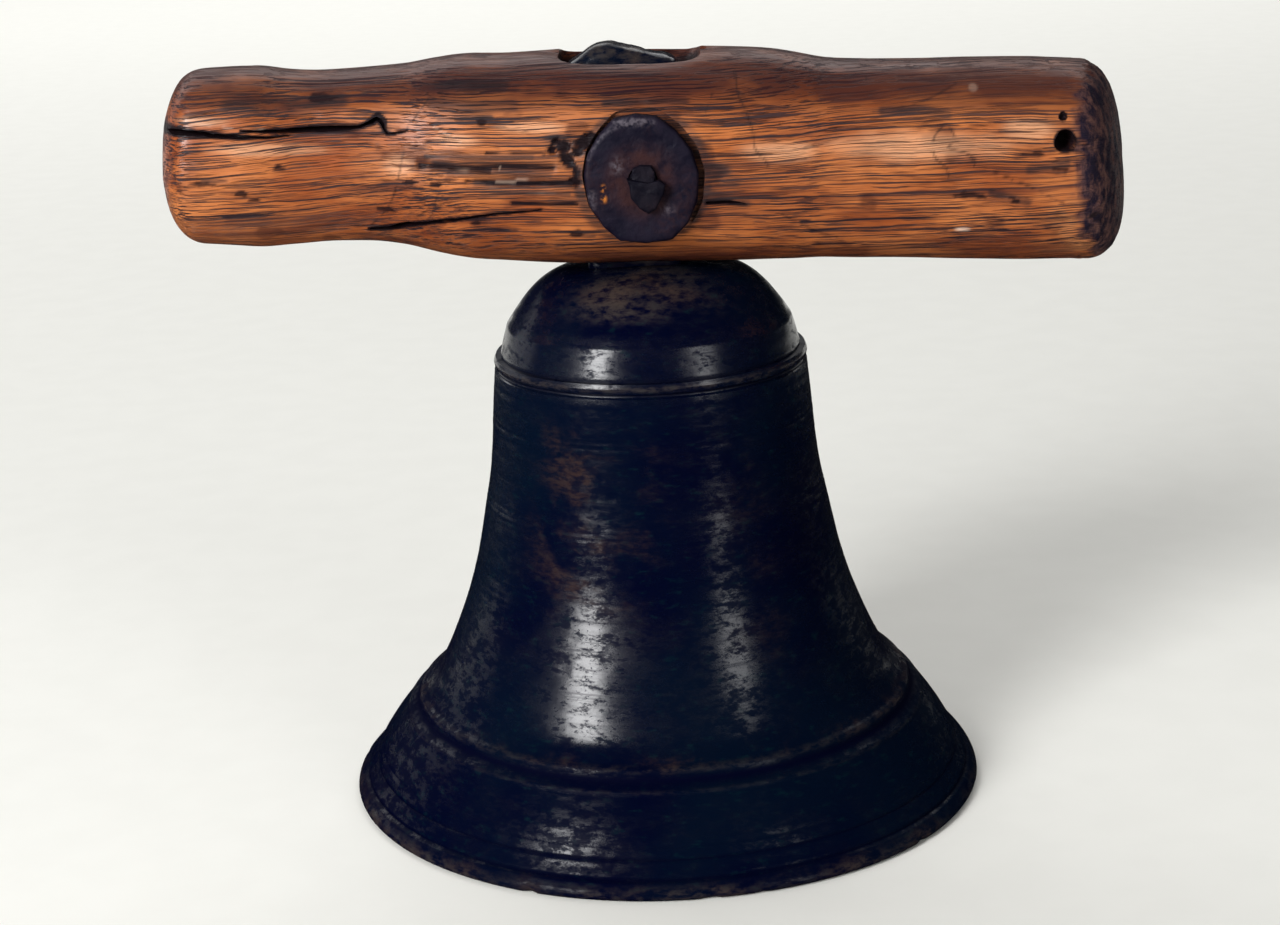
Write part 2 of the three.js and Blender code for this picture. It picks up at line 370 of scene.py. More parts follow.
def bronze_material():
    """Nearly black blue patina, brown where it is thin, with a waxed shine broken by fine pits; on the
    front of the crown the brown and worn colours are also a painted reflection of the handle.
    """
    s = Shader("patinated_bronze")
    turned = s.noise((16, 16, 1700), 3, 0.6)
    pits = s.noise((1100, 1100, 1300), 5, 0.7)
    mottle = s.noise((210, 210, 480), 9, 0.74)
    blotch = s.noise((60, 60, 85), 8, 0.64, 0.4)
    fine_blotch = s.noise((300, 300, 800), 6, 0.66)
    broad = s.noise((22, 22, 22), 3, 0.5)
    polish = s.painted("polish")
    grime = s.painted("grime")
    color = s.mix(s.band(broad, 0.35, 0.65), (0.0003, 0.001, 0.0098), (0.0009, 0.0036, 0.0115))
    color = s.mix(s.band(fine_blotch, 0.54, 0.75, 0, 0.65), color, (0.002, 0.012, 0.0175))
    thin = s.times(s.band(blotch, 0.44, 0.62), s.painted("brown"), s.band(fine_blotch, 0.4, 0.6, 0.15, 1))
    color = s.mix(thin, color, (0.027, 0.015, 0.0145))
    worn = s.times(s.band(fine_blotch, 0.38, 0.62), s.painted("wear"))
    color = s.mix(worn, color, (0.1, 0.079, 0.065))
    color = s.mix(grime, color, (0.0005, 0.0009, 0.009))
    uneven = s.math("SUBTRACT", mottle, s.times(polish, 0.105))
    dull = s.most(s.band(uneven, 0.35, 0.53), s.band(pits, 0.52, 0.68, 0, 0.7))
    dull = s.most(dull, s.times(s.band(turned, 0.5, 0.68), 0.45), grime, s.times(thin, 0.75))
    rough = s.plus(s.band(blotch, 0.38, 0.64, 0.17, 0.23), s.times(dull, 0.14), s.times(grime, 0.25))
    height = s.plus(s.times(turned, 0.12), s.times(pits, 0.24), s.times(fine_blotch, 0.55))
    shine = s.times(s.band(polish, 0, 1, 0.08, 0.43), s.band(dull, 0, 1, 1, 0.1))
    return s.finish(color, rough, height, 0.04, s.band(worn, 0, 1, 0, 0.8), shine)


def iron_material(name, dark, light, rust_share):
    """Forged iron: brown-black scale, mottled, with soft rust in the hollows."""
    s = Shader(name)
    mottle = s.noise((190, 190, 190), 6, 0.62, 0.3)
    speck = s.noise((900, 900, 900), 5, 0.6)
    broad = s.noise((70, 70, 70), 3, 0.5)
    color = s.mix(s.band(mottle, 0.35, 0.66), dark, light)
    rust = s.times(s.band(broad, 0.45, 0.68), s.band(speck, 0.35, 0.62, 0, rust_share))
    rust = s.most(rust, s.times(s.painted("halo"), s.band(mottle, 0.3, 0.62)))
    spots = s.times(s.painted("rust"), s.band(speck, 0.44, 0.56))
    rubbed = s.times(s.painted("wear"), s.band(speck, 0.36, 0.66))
    for share, tint in (
        (rust, (0.038, 0.012, 0.012)),
        (spots, (0.5, 0.16, 0.02)),
        (rubbed, (0.105, 0.09, 0.11)),
    ):
        color = s.mix(share, color, tint)
    rough = s.band(mottle, 0.3, 0.7, 0.46, 0.74)
    return s.finish(color, rough, s.plus(mottle, s.times(speck, 0.6)), 0.26, 0.2, 0.2)


def bend_grain(s):
    """Moves the place that the oak's noises are read at, so that the grain is not straight."""
    drift = s.math("SUBTRACT", s.noise((9, 22, 22), 2, 0.5), 0.5)
    waver = s.math("SUBTRACT", s.noise((48, 110, 110), 3, 0.55), 0.5)
    shift = s.node("ShaderNodeCombineXYZ")
    s.fill(shift, Z=s.plus(s.times(drift, 0.011), s.times(waver, 0.0014)), Y=s.times(drift, 0.007))
    bent = s.node("ShaderNodeVectorMath", operation="ADD")
    put(s.tree, bent.inputs[0], s.place)
    put(s.tree, bent.inputs[1], shift.outputs[0])
    s.place = bent.outputs[0]


def oak_material():
    """Old handled oak: orange-brown, with long dark pores in bands, cracks, stains and dark ends."""
    s = Shader("old_oak")
    bend_grain(s)
    crumbs = s.noise((480, 480, 260), 6, 0.7)
    s.turn = -HANDLE_TILT
    long_pores = s.noise((20, 700, 3000), 3, 0.58)
    short_pores = s.noise((70, 900, 3600), 2, 0.6)
    streaks = s.noise((16, 240, 480), 4, 0.6)
    rings = s.noise((6, 130, 130), 2, 0.5)
    tone = s.noise((26, 60, 60), 4, 0.6)
    fibre = s.noise((60, 900, 4200), 3, 0.6)
    shade, end, ink, stained = (s.painted(name) for name in ("shade", "end", "ink", "stain"))
    gold, amber, brown = (0.5, 0.15, 0.034), (0.28, 0.063, 0.012), (0.066, 0.013, 0.009)
    open_grain = s.band(rings, 0.36, 0.58, 0.42, 1)
    pores = s.times(s.band(long_pores, 0.54, 0.58), open_grain)
    pores = s.most(pores, s.times(s.band(short_pores, 0.58, 0.63, 0, 0.8), open_grain))
    end_tone = s.mix(s.band(crumbs, 0.4, 0.66), (0.011, 0.007, 0.018), (0.11, 0.05, 0.042))
    color = s.mix(s.band(tone, 0.36, 0.62), amber, gold)
    for share, tint in (
        (s.band(streaks, 0.49, 0.67, 0, 0.72), brown),
        (s.band(fibre, 0.45, 0.72, 0, 0.5), brown),
        (shade, (0.062, 0.019, 0.014)),
        (s.painted("gold"), (0.46, 0.17, 0.055)),
        (pores, (0.022, 0.006, 0.009)),
        (end, end_tone),
        # stains, and painted shade inside the mortise
        (s.times(stained, s.band(streaks, 0.34, 0.56, 0.35, 1)), (0.014, 0.008, 0.011)),
        # pale: handling wear and painted sheen
        (s.times(s.painted("pale"), s.band(long_pores, 0.6, 0.5)), (0.74, 0.39, 0.215)),
        # dark marks, and painted shade in the cracks and inside the mortise
        (ink, (0.012, 0.006, 0.008)),
        (s.painted("bare"), (0.72, 0.5, 0.38)),
    ):
        color = s.mix(share, color, tint)
    rough = s.plus(s.band(tone, 0.3, 0.7, 0.3, 0.44), s.times(pores, 0.25))
    rough = s.plus(rough, s.times(end, 0.22), s.times(stained, 0.12))
    height = s.plus(s.times(pores, -0.9), s.times(fibre, 0.22), s.times(streaks, -0.5))
    shine = s.band(s.most(shade, ink, end), 0, 1, 0.52, 0.14)
    return s.finish(color, rough, height, 0.22, 0, shine)


# ---------------------------------------------------------------- the bell

# Base outline of the outside, from the lip to the middle of the crown, before its mouldings.
STANDING_RING = [(69, 0), (71, 0), (73.1, 0)]
LIP = [(73.1, 0), (74.3, 0.25), (74.95, 1), (74.7, 2), (73.7, 3.2)]
FLARE = [
    (73.7, 3.2), (72.3, 4.7), (70.5, 7), (68.75, 10), (66.7, 13), (64.4, 16), (62, 19), (59.3, 22),
    (56.7, 24.6), (54.2, 27.3), (52.3, 30.5), (50.4, 34.5), (48.3, 39.5), (45.5, 47), (43.3, 54.5),
    (41.6, 62), (40.2, 69), (38.8, 76), (37.8, 84), (37.1, 92), (36.55, 98), (36.2, 101.4),
    (35.9, 104.2),
]
BAND = [(34.75, 104.5), (34.2, 106.5), (33.6, 108.7), (32.9, 111)]
CROWN = [
    (32.65, 111.4), (31.3, 113.4), (29.9, 115.3), (27.5, 118.2), (24.5, 120.9), (20.6, 122.9),
    (14, 124), (6, 124.4), (0, 124.5),
]
INSIDE = [
    (0, 117.6), (10, 117.2), (20, 115.2), (26, 111.5), (29.5, 106.5), (31.2, 100), (32.4, 90),
    (34.4, 75), (37.4, 60), (40.6, 48), (44.6, 36), (47.6, 28), (51.6, 21), (56.6, 14), (62.5, 7),
    (67.4, 1.2), (69, 0),
]
# Mouldings on the outside: height, half width, and how far each stands out, or is cut in below 0.
MOULDINGS = [
    (4.3, 0.55, -0.5), (7.7, 0.45, -0.26), (10.4, 0.4, -0.14), (19.6, 0.6, 0.22), (21.5, 1.7, -0.42),
    (23.2, 1.2, 0.36), (101.5, 0.6, -0.85), (103.1, 1, 0.3), (104.5, 0.4, -0.3),
]
OUTSIDE_STEP, INSIDE_STEP = 0.42, 1.6
BELL_COLUMNS = 264


def turning_lines():
    """Fine lathe lines on the waist, as mouldings drawn from a seeded sequence."""
    draw = np.random.default_rng(41)
    heights = np.sort(draw.uniform(27, 100, 60))
    return [(z, draw.uniform(0.25, 0.7), draw.uniform(-0.05, 0.03)) for z in heights]


def mould(profile):
    """Adds the mouldings and lathe lines to the outside line, along its normal."""
    slope = np.gradient(profile, axis=0)
    normal = unit(beside(slope[:, 1], -slope[:, 0]))
    out = bands(profile[:, 1], *MOULDINGS, *turning_lines())
    return profile + normal * out[:, None]


def outside_line():
    shapes = (STANDING_RING, LIP, FLARE, BAND, CROWN)
    parts = [even_steps(smooth_line(part), OUTSIDE_STEP) for part in shapes]
    line = np.vstack([parts[0]] + [part[1:] for part in parts[1:3]] + parts[3:])
    return mould(line)


def bell_angle(points):
    """Degrees round the bell from the front, positive to the right."""
    return np.degrees(np.arctan2(points[:, 0], -points[:, 1]))


# Chips out of the lip: angle round the bell, half width in degrees, and depth.
LIP_CHIPS = [
    (-24.5, 1, 0.45), (6.2, 1.3, 0.6), (15.5, 0.9, 0.5), (48, 1.5, 0.5), (120, 2.2, 0.7),
    (-97, 1.8, 0.6), (-160, 1.4, 0.8),
]


def weather_bell(points):
    """Casting unevenness, shallow dents, and chips along the lip."""
    radial = points.copy()
    radial[:, 2] = 0
    reach = lengths(radial)
    radial = unit(radial)
    off_axis = smoothstep(reach, 4, 20)
    push = 0.16 * fractal(points, (38, 38, 30), 5) + 0.022 * fractal(points, (3.2, 3.2, 2), 9)
    outside = smoothstep(reach, 30, 36)
    push -= 0.1 * outside * smoothstep(value_noise(points, 2.4, 17), 0.55, 0.95)
    lip = fade(points[:, 2], 0.4, 5)
    points = points + radial * (push * off_axis * (1 - lip))[:, None]
    angle = bell_angle(points)
    skirt = fade(points[:, 2], 3, 22) * smoothstep(reach, 50, 70)
    bend = hump(angle, 45, 42) - 1.1 * hump(angle, 101, 30)
    points = points + radial * (skirt * bend)[:, None]
    for centre, half_width, depth in LIP_CHIPS:
        near = hump(angle, centre, half_width) * fade(points[:, 2], 1.2, 3.6)
        near *= smoothstep(reach, 72.2, 73.4)
        points = points - radial * (depth * near)[:, None]
        points[:, 2] += 0.5 * depth * near
    return points


# The argent, a flat loop on the crown, in X and Z: a straight shank with a lopsided worn top.
ARGENT_OUTLINE = [
    (-13.3, 123.2), (-13.3, 132), (-13.3, 145), (-13.4, 158), (-13.7, 163.2), (-15.2, 166.4),
    (-16.4, 168.2), (-15.5, 169.9), (-12.8, 171.7), (-9.8, 173.5), (-6.6, 174.1), (-2.4, 173.4),
    (2.2, 172.1), (6.4, 170.9), (8.6, 169.4), (8.9, 167.2), (8.4, 163), (8.3, 157), (8.3, 145),
    (8.3, 132), (8.3, 123.2),
]
ARGENT_HALF_THICKNESS = 6
ARGENT_ROUND = 3.4
ARGENT_HOLE_RADIUS = 5.4
ARGENT_MIDDLE = np.array([-2.5, 147])
ARGENT_SECTIONS = 7


def argent():
    """The loop as a ring of sections that are round at the edge and flat on the cheeks."""
    edge = even_steps(smooth_line(ARGENT_OUTLINE, 12), 0.8)
    edge = np.vstack([edge, [(4, 120.5), (-9, 120.5)]])
    rings = []
    for i in range(ARGENT_SECTIONS):
        turn = math.pi / 2 * i / (ARGENT_SECTIONS - 1)
        inset = ARGENT_ROUND * (1 - math.sin(turn))
        depth = ARGENT_HALF_THICKNESS - ARGENT_ROUND * (1 - math.cos(turn))
        rings.append((inset, -depth))
    rings += [(inset, -depth) for inset, depth in reversed(rings)]
    inward = unit(ARGENT_MIDDLE - edge)
    points = []
    for inset, y in rings:
        flat = edge + inward * inset
        points.append(beside(flat[:, 0], np.full(len(flat), y), flat[:, 1]))
    x, z = ARGENT_MIDDLE
    points = np.vstack(points + [[[x, rings[0][1], z], [x, rings[-1][1], z]]])
    rough = 0.45 * fractal(points, 3.6, 23)[:, None]
    high = smoothstep(points[:, 2], 155, 168)[:, None]
    points = points + rough * high * np.array([0.5, 1, 0.9])
    loop = add_object("argent_blank", points, loft_faces(len(rings), len(edge)))
    at_pin = Matrix.Translation((0, 0, PIN_HEIGHT))
    combine(loop, round_bar("argent_hole", ARGENT_HOLE_RADIUS, 30, at_pin))
    return loop


def round_bar(name, radius, length, matrix=None):
    """A plain round bar along Y, used for cutting holes."""
    return prism(name, circle(64), [(-length / 2, radius), (length / 2, radius)], matrix)


def bell():
    outside = outside_line()
    inside = even_steps(smooth_line(INSIDE), INSIDE_STEP)
    piece = lathe("bell_casting", np.vstack([inside[:-1], outside]), BELL_COLUMNS, weather_bell)
    combine(piece, argent(), "UNION")
    for side in (-1, 1):
        reach = STAPLE_RADIUS + GAP
        socket = round_bar("socket", reach, 2 * (STAPLE_TOP + GAP - STAPLE_ARCH))
        move_points(socket, points_of(socket)[:, [0, 2, 1]] + [side * STAPLE_HALF_SPAN, 0, STAPLE_ARCH])
        combine(piece, socket)
    paint_bell(piece)
    finish_piece(piece, bronze_material(), "bell", "bell")


# A surface between the inside and the outside of the bell: heights, and its radius at each.
WALL_HEIGHTS = [0, 20, 40, 75, 106.5, 111.5, 115.2, 117.2, 118]
WALL_RADII = [69, 55, 45.5, 36, 31.5, 29.3, 25, 19, 0]


def paint_bell(piece):
    """Where the bronze is worn, shiny, grimy or brown, by height and by angle from the front; on the front
    of the crown the wear and brown also paint a reflection of the handle.
    """
    points = points_of(piece)
    z = points[:, 2]
    angle = bell_angle(points)
    reach = np.hypot(points[:, 0], points[:, 1])
    outer = smoothstep(reach - np.interp(z, WALL_HEIGHTS, WALL_RADII), -1, 1)
    noise = value_noise(points, 9, 61) * 0.5 + 0.5
    wear = bands(z, (23.4, 1, 0.12), (19.6, 0.6, 0.08), (103.1, 1, 0.3))
    wear += 0.3 * fade(z, 1.5, 4) * noise + 0.35 * smoothstep(z, 168, 173)
    # painted reflection: wear on the front of the crown, partly worn bronze, partly the handle's
    # reflection painted in
    wear += 0.55 * smoothstep(z, 115, 119) * (z < 130) * hump(angle, 0, 60) * noise
    grime = bands(
        z, (21.5, 1.6, 0.95), (101.6, 0.5, 0.9), (104.5, 0.5, 0.9), (4.3, 0.5, 0.8), (7.7, 0.4, 0.6)
    )
    brown = 0.05 + 0.95 * smoothstep(z, 50, 60) * fade(z, 88, 98) * hump(angle, -22, 30)
    brown += 0.35 * smoothstep(z, 30, 50) * fade(z, 85, 95) * hump(angle, 30, 14) * 0.6
    # painted reflection: the brown on the front of the crown is partly thin patina, partly the handle's
    # reflection painted in
    brown += 0.9 * smoothstep(z, 118, 121) * hump(angle, 0, 70) + 0.5 * hump(z, 24, 2)
    brown += 0.4 * fade(z, 1, 5)
    flank = 0.3 + 0.7 * hump(angle, -20, 34) * smoothstep(z, 26, 31) * fade(z, 49, 62)
    polish = 0.14 + 0.38 * hump(angle, -17, 22) * hump(z, 9, 7) + 0.1 * hump(angle, -62, 30)
    polish = np.where(z > 25, flank, polish)
    polish = np.where(np.abs(z - 121.5) < 8.5, 0.14, polish)
    polish = highest(
        polish,
        0.95 * hump(angle, 20, 18) * hump(z, 46, 24),
        0.55 * hump(angle, 20, 16) * hump(z, 74, 18),
        0.6 * hump(angle, -62, 30) * smoothstep(z, 26, 32),
        0.95 * smoothstep(z, 98, 101) * fade(z, 111, 116),
        0.7 * smoothstep(z, 160, 166),
    )
    paint(piece, wear=wear * outer, polish=polish, grime=grime * outer + 0.4 * (1 - outer), brown=brown)


# ---------------------------------------------------------------- staple and clapper

STAPLE_HALF_SPAN, STAPLE_RADIUS, STAPLE_ARCH, STAPLE_TOP = 8, 2.5, 112, 121.2
PIVOT_HEIGHT = STAPLE_ARCH - STAPLE_HALF_SPAN
BALL_HEIGHT, BALL_RADIUS = 16, 10
EYE_RADIUS, EYE_WIRE = 5.3, 2.05
EYE_COLUMNS, WIRE_COLUMNS = 72, 24
STAPLE_STEPS, BOW_STEPS, STAPLE_COLUMNS = 14, 40, 28
STAPLE_RUST, CLAPPER_RUST = 0.15, 0.2


def forged(amount, cell, seed):
    """A shape function that gives a smooth solid the unevenness of hammer work."""
    def shape(points):
        facets = fractal(points, cell, seed, 2)[:, None]
        centre = points.mean(axis=0) * [1, 1, 0] + points * [0, 0, 1]
        return points + unit(points - centre, 0.01) * facets * amount
    return shape


def crown_staple():
    turn = np.linspace(math.pi, 2 * math.pi, BOW_STEPS)
    bow = STAPLE_HALF_SPAN * beside(np.cos(turn), 0 * turn, np.sin(turn)) + [0, 0, STAPLE_ARCH]
    rise = np.linspace(STAPLE_TOP, STAPLE_ARCH, STAPLE_STEPS, endpoint=False)
    left = beside(0 * rise - STAPLE_HALF_SPAN, 0 * rise, rise)
    path = np.vstack([left, bow, left[::-1] * [-1, 1, 1]])
    radii = STAPLE_RADIUS * (1 - 0.04 * (1 + value_noise(path, 3, 71)))
    piece = tube("staple_iron", path, radii, STAPLE_COLUMNS)
    z = points_of(piece)[:, 2]
    paint(piece, wear=hump(z, PIVOT_HEIGHT + 1.5, 4), rust=np.full(len(z), STAPLE_RUST))
    finish_piece(piece, IRON["inner"], "crown_staple", "bell")


def clapper():
    turn = np.linspace(-1.27, 1.2, 40)
    ball = beside(BALL_RADIUS * np.cos(turn), BALL_HEIGHT + BALL_RADIUS * np.sin(turn))
    flight = [(0, 2.8), (1.4, 2.85), (2.4, 3.1), (2.9, 3.7), (2.95, 5), (2.9, 6)]
    shank = [(3.6, 26), (3.3, 34), (3, 50), (2.7, 70), (2.45, 88), (2.4, 98.5), (1.6, 99.2), (0, 99.4)]
    profile = np.vstack([flight, ball, smooth_line(shank, 10)])
    piece = lathe("clapper_iron", profile, 56, forged(0.16, (7, 7, 9), 81))
    big, small = np.meshgrid(full_turn(EYE_COLUMNS), full_turn(WIRE_COLUMNS), indexing="ij")
    reach = EYE_RADIUS + EYE_WIRE * np.cos(small)
    height = PIVOT_HEIGHT + reach * np.sin(big)
    eye = np.stack([EYE_WIRE * np.sin(small), reach * np.cos(big), height], axis=-1)
    faces = []
    for i in range(EYE_COLUMNS):
        for k in range(WIRE_COLUMNS):
            a, b = i * WIRE_COLUMNS, (i + 1) % EYE_COLUMNS * WIRE_COLUMNS
            nxt = (k + 1) % WIRE_COLUMNS
            faces.append((a + k, a + nxt, b + nxt, b + k))
    combine(piece, add_object("eye", eye.reshape(-1, 3), faces), "UNION")
    points = points_of(piece)
    at_strike = hump(points[:, 2], 19, 7) * smoothstep(np.abs(points[:, 1]), 6, 9.5)
    paint(piece, wear=at_strike, rust=np.full(len(points), CLAPPER_RUST))
    finish_piece(piece, IRON["inner"], "clapper", "clapper")


# ---------------------------------------------------------------- the handle

# Stations along the handle: x with the half thickness, and x with the rise of the middle above
# the axis, which itself lies this far above the pin.
HANDLE_AXIS = 1.8
HALF_THICKNESS = [
    (-108.6, 19.4), (-100, 19.6), (-92, 19.9), (-85, 20), (-79, 19.4), (-71, 18.95), (-65, 19.05),
    (-59, 19.4), (-53, 20.1), (-46, 21.6), (-39, 22.7), (-31, 23), (-22, 23.4), (-12, 23.8), (0, 23.85),
    (13, 23.7), (27, 23.4), (34, 22.9), (40, 22.25), (50, 22.15), (62, 22.15), (74, 22.45), (85, 22.6),
    (97, 22.3), (108.4, 21.9),
]
RISE = [
    (-108.6, -0.5), (-98, -0.3), (-86, -0.25), (-79, -0.3), (-66, 0.25), (-59, 0.5), (-46, 0.15),
    (-32, -0.35), (-18, -0.2), (-4, 0.3), (20, 0.4), (29, 0.3), (36, -0.1), (41, -0.35), (60, -0.5),
    (84, -0.4), (108.4, -0.7),
]
LEFT_END, RIGHT_END = -108.6, 108.4
END_ROUND, END_POWER = 10, 2.8
DEPTH_RATIO, SQUARENESS = 0.95, 2.4
RIGHT_CUT = 0.27
HANDLE_STEP, HANDLE_COLUMNS = 0.42, 300


def rounded(value, power):
    return np.sign(value) * np.abs(value) ** (2 / power)


def handle_stations():
    """Positions along the handle with the share of full width at each, closing at both ends."""
    turn = np.linspace(0, math.pi / 2, 22)[1:]
    share = rounded(np.sin(turn), END_POWER)
    out = END_ROUND * rounded(np.cos(turn), END_POWER)
    body = np.arange(LEFT_END + END_ROUND, RIGHT_END - END_ROUND, HANDLE_STEP)[1:]
    x = np.concatenate([LEFT_END + END_ROUND - out, body, (RIGHT_END - END_ROUND + out)[::-1]])
    return x, np.concatenate([share, np.ones(len(body)), share[::-1]])


def slant_ends(points):
    """Both ends lean back at the top, and the right end is cut away towards the front."""
    x, y, z = points.T
    left = fade(x, LEFT_END, -84)
    right = smoothstep(x, 80, RIGHT_END)
    x = x + left * (1.2 + 0.05 * (z + 4) + 0.09 * np.abs(z + 2) * (z < -2) + 0.04 * (-y - 6))
    x = x - right * (0.125 * z - 0.9 + RIGHT_CUT * np.maximum(0, 2 - y))
    return beside(x, y, z)


def handle_blank():
    x, share = handle_stations()
    half = cubic(HALF_THICKNESS, x)
    rise = cubic(RISE, x)
    cosine, sine = rounded(circle(HANDLE_COLUMNS), SQUARENESS).T
    y = -(half * share)[:, None] * DEPTH_RATIO * cosine[None]
    z = HANDLE_AXIS + rise[:, None] + (half * share)[:, None] * sine[None]
    points = np.stack([np.repeat(x[:, None], HANDLE_COLUMNS, axis=1), y, z], axis=-1).reshape(-1, 3)
    poles = [(LEFT_END, 0, HANDLE_AXIS), (RIGHT_END, 0, HANDLE_AXIS)]
    return np.vstack([points, poles]), loft_faces(len(x), HANDLE_COLUMNS)


def distance_to_line(points, line):
    """How far each (x, z) point is from a broken line, and how far along the line, from 0 to 1."""
    line = np.asarray(line, dtype=float)
    best = np.full(len(points), 1e9)
    along = np.zeros(len(points))
    spans = len(line) - 1
    for i in range(spans):
        a, d = line[i], line[i + 1] - line[i]
        t = np.clip(((points - a) @ d) / (d @ d), 0, 1)
        reach = lengths(points - a - t[:, None] * d)
        closer = reach < best
        best = np.where(closer, reach, best)
        along = np.where(closer, (i + t) / spans, along)
    return best, along


# Marks on the front of the handle, in its own X and Z: gouges as a line, half width and depth;
# chewed spots as a middle and radius; worm holes the same with a depth; stains as a line and half
# width; then thin dark lines and pale scratches.
GOUGES = [
    ([(-48.4, 2.6), (-40, 2.3), (-30, 2.5), (-19.5, 2.5)], 0.85, 0.6),
    ([(-38, -1), (-28, -1.1), (-14, -1.1)], 0.85, 0.8), ([(-41, 1.4), (-33, 1.2)], 0.4, 0.3),
    ([(-28.5, -5.4), (-20, -5.6), (-14.2, -5.4)], 0.5, 0.3), ([(-34, 5.6), (-20, 5.4)], 0.3, 0.3),
]
CHEWED = [
    (-17.2, 6.8, 1.5), (-19.6, 6.2, 1), (-16, 3.8, 1.7), (-18.8, 8.2, 0.8), (-12.9, 7.8, 1.8),
    (-11.3, 8.8, 1.5), (-14.1, 5.8, 1), (-14.4, 1.3, 0.8), (-14.8, -0.7, 0.9),
]
WORM_HOLES = [(91.5, 8.2, 2.35, 5), (91, 13.3, 0.9, 1.2)]
HOLE_COLUMNS = 28
STAINS = [
    ([(13, 3.4), (17.5, 1.8)], 2.2), ([(14, -3.4), (19.5, -4.6), (22.5, -5.4)], 1.4),
    ([(14, 0), (20, -0.5)], 1.5), ([(-36, -0.8), (-15, -0.8)], 1.5), ([(-45, 3), (-14, 3.4)], 1.3),
    ([(-19, 8), (-13, 5)], 2.8), ([(-47, 4.6), (-36, 4.9), (-24, 4.6)], 0.8),
    ([(-42, 1), (-30, 1.2), (-20, 1)], 0.7), ([(-35, -3.2), (-24, -3), (-16, -3.4)], 0.7),
    ([(-46, 15.6), (-36, 15), (-28, 15.4)], 1.6), ([(-44, 12.2), (-33, 12.8)], 1),
    ([(-48, 19), (-30, 19.4)], 1.4), ([(-90, 15), (-74, 14.4), (-66, 15.6)], 2.4),
    ([(84, 2), (92, 3.4)], 1.2), ([(66, 13.5), (60, 14.6), (52, 14.2)], 1.3),
    ([(76, -3), (84, -5)], 1.1), ([(-8, 16.2), (9, 16.4)], 1.3), ([(-14, -4.6), (-20, -5)], 0.9),
    ([(-96, -1.4), (-91, -1.3)], 0.8), ([(-14, -12.6), (-11, -12.8)], 1),
    ([(-57, 11.2), (-56, 10.4)], 1.7), ([(-57.8, 6.6), (-57.7, 6.2)], 0.8),
]
INK_LINES = [
    [(20, 22.2), (20.6, 17.9), (22, 14.9), (23.6, 10.8), (24.4, 6.3), (26.4, 4.2), (28.4, 1)],
    [(65.6, 11.8), (63, 8.6), (63.4, 4.6), (65.8, 2.4), (66.6, 0.2)],
    [(66.4, 11.2), (67.6, 8.4), (66.2, 6.8), (70.4, 5.4), (72.6, 3.2)], [(48.6, 22.4), (49.4, 17.6)],
    [(50, 14.2), (58, 15.4), (64, 17.6), (68, 19.8)], [(-46.5, 16.5), (-49.5, 12.5), (-51.5, 10)],
    [(-52, 5.5), (-53, 1), (-54.6, -4.5), (-57, -8.5), (-60, -11.5)],
    [(-44, -2.4), (-46, -6.4), (-50.5, -9.6), (-57, -12.2)],
    [(30.5, -8), (34, -9.8), (38, -12), (43, -13.6)], [(72, 3), (79, 0.5), (86, -2.5), (92, -5.5)],
    [(12.5, 12), (13.6, 14.6), (15, 18)],
]
SCRATCHES = [
    [(-45.3, 10.8), (-42.2, 9.2), (-39.4, 7.7)], [(-27.5, -0.1), (-24, 0), (-21.2, -0.1)],
    [(-31.8, -0.9), (-27.8, -0.8)], [(-33, -2), (-31.4, -2.2)], [(-31.4, 3.3), (-30.9, 2.2)],
    [(-43, 1.4), (-37, 1.5)], [(-25, -2.9), (-15.3, -3)], [(-98, 11.3), (-90, 10.3), (-82, 10)],
]
# Dark spots in the grain: middle x and z, and half sizes.
SPOTS = [
    (-96.5, -1.9, 3.2, 0.5), (-56.4, -7.7, 1.7, 0.6), (-45.1, -1.6, 1.7, 0.8), (-51.2, -1.3, 1.2, 0.7),
    (-87.6, -3.9, 1.3, 0.6), (-84.6, -5.4, 1, 0.4), (-79.4, 1.9, 1, 0.5), (-36.6, -10.2, 1, 0.5),
    (-35, 11.8, 1.2, 0.9), (90.6, 2, 1.6, 0.7), (81.3, -5, 1.2, 0.6), (99, -8.1, 0.9, 0.6),
    (84.2, 5.4, 2.6, 0.5), (71.3, -3.5, 2.6, 0.8), (-14.5, -12.8, 1.6, 0.9), (-70, 16.2, 3, 0.7),
]
# Areas painted pale, partly handling wear and partly a painted sheen of the lamps on the front: middle x
# and z, and half sizes.
PALE_WEAR_AND_SHEEN = [
    (60, 7, 24, 4.2), (-24, 11, 10, 1.6), (-40, 8, 6, 1.8), (30, 6, 10, 2.6), (-82, 5.6, 16, 1.8),
    (-96, 11.6, 7, 1.4), (-53, 2.5, 5, 3.5), (84, 10.5, 7, 3),
]


def on_front(points):
    """1 on the side of the handle that faces front, falling to 0 at its top and underside."""
    return smoothstep(-points[:, 1], 2, 9)


def chew_warp(points):
    """How much farther than it is each point counts as being from the middle of a chewed spot."""
    return 1 + 0.5 * fractal(points, (2.4, 1, 1), 188, 2)


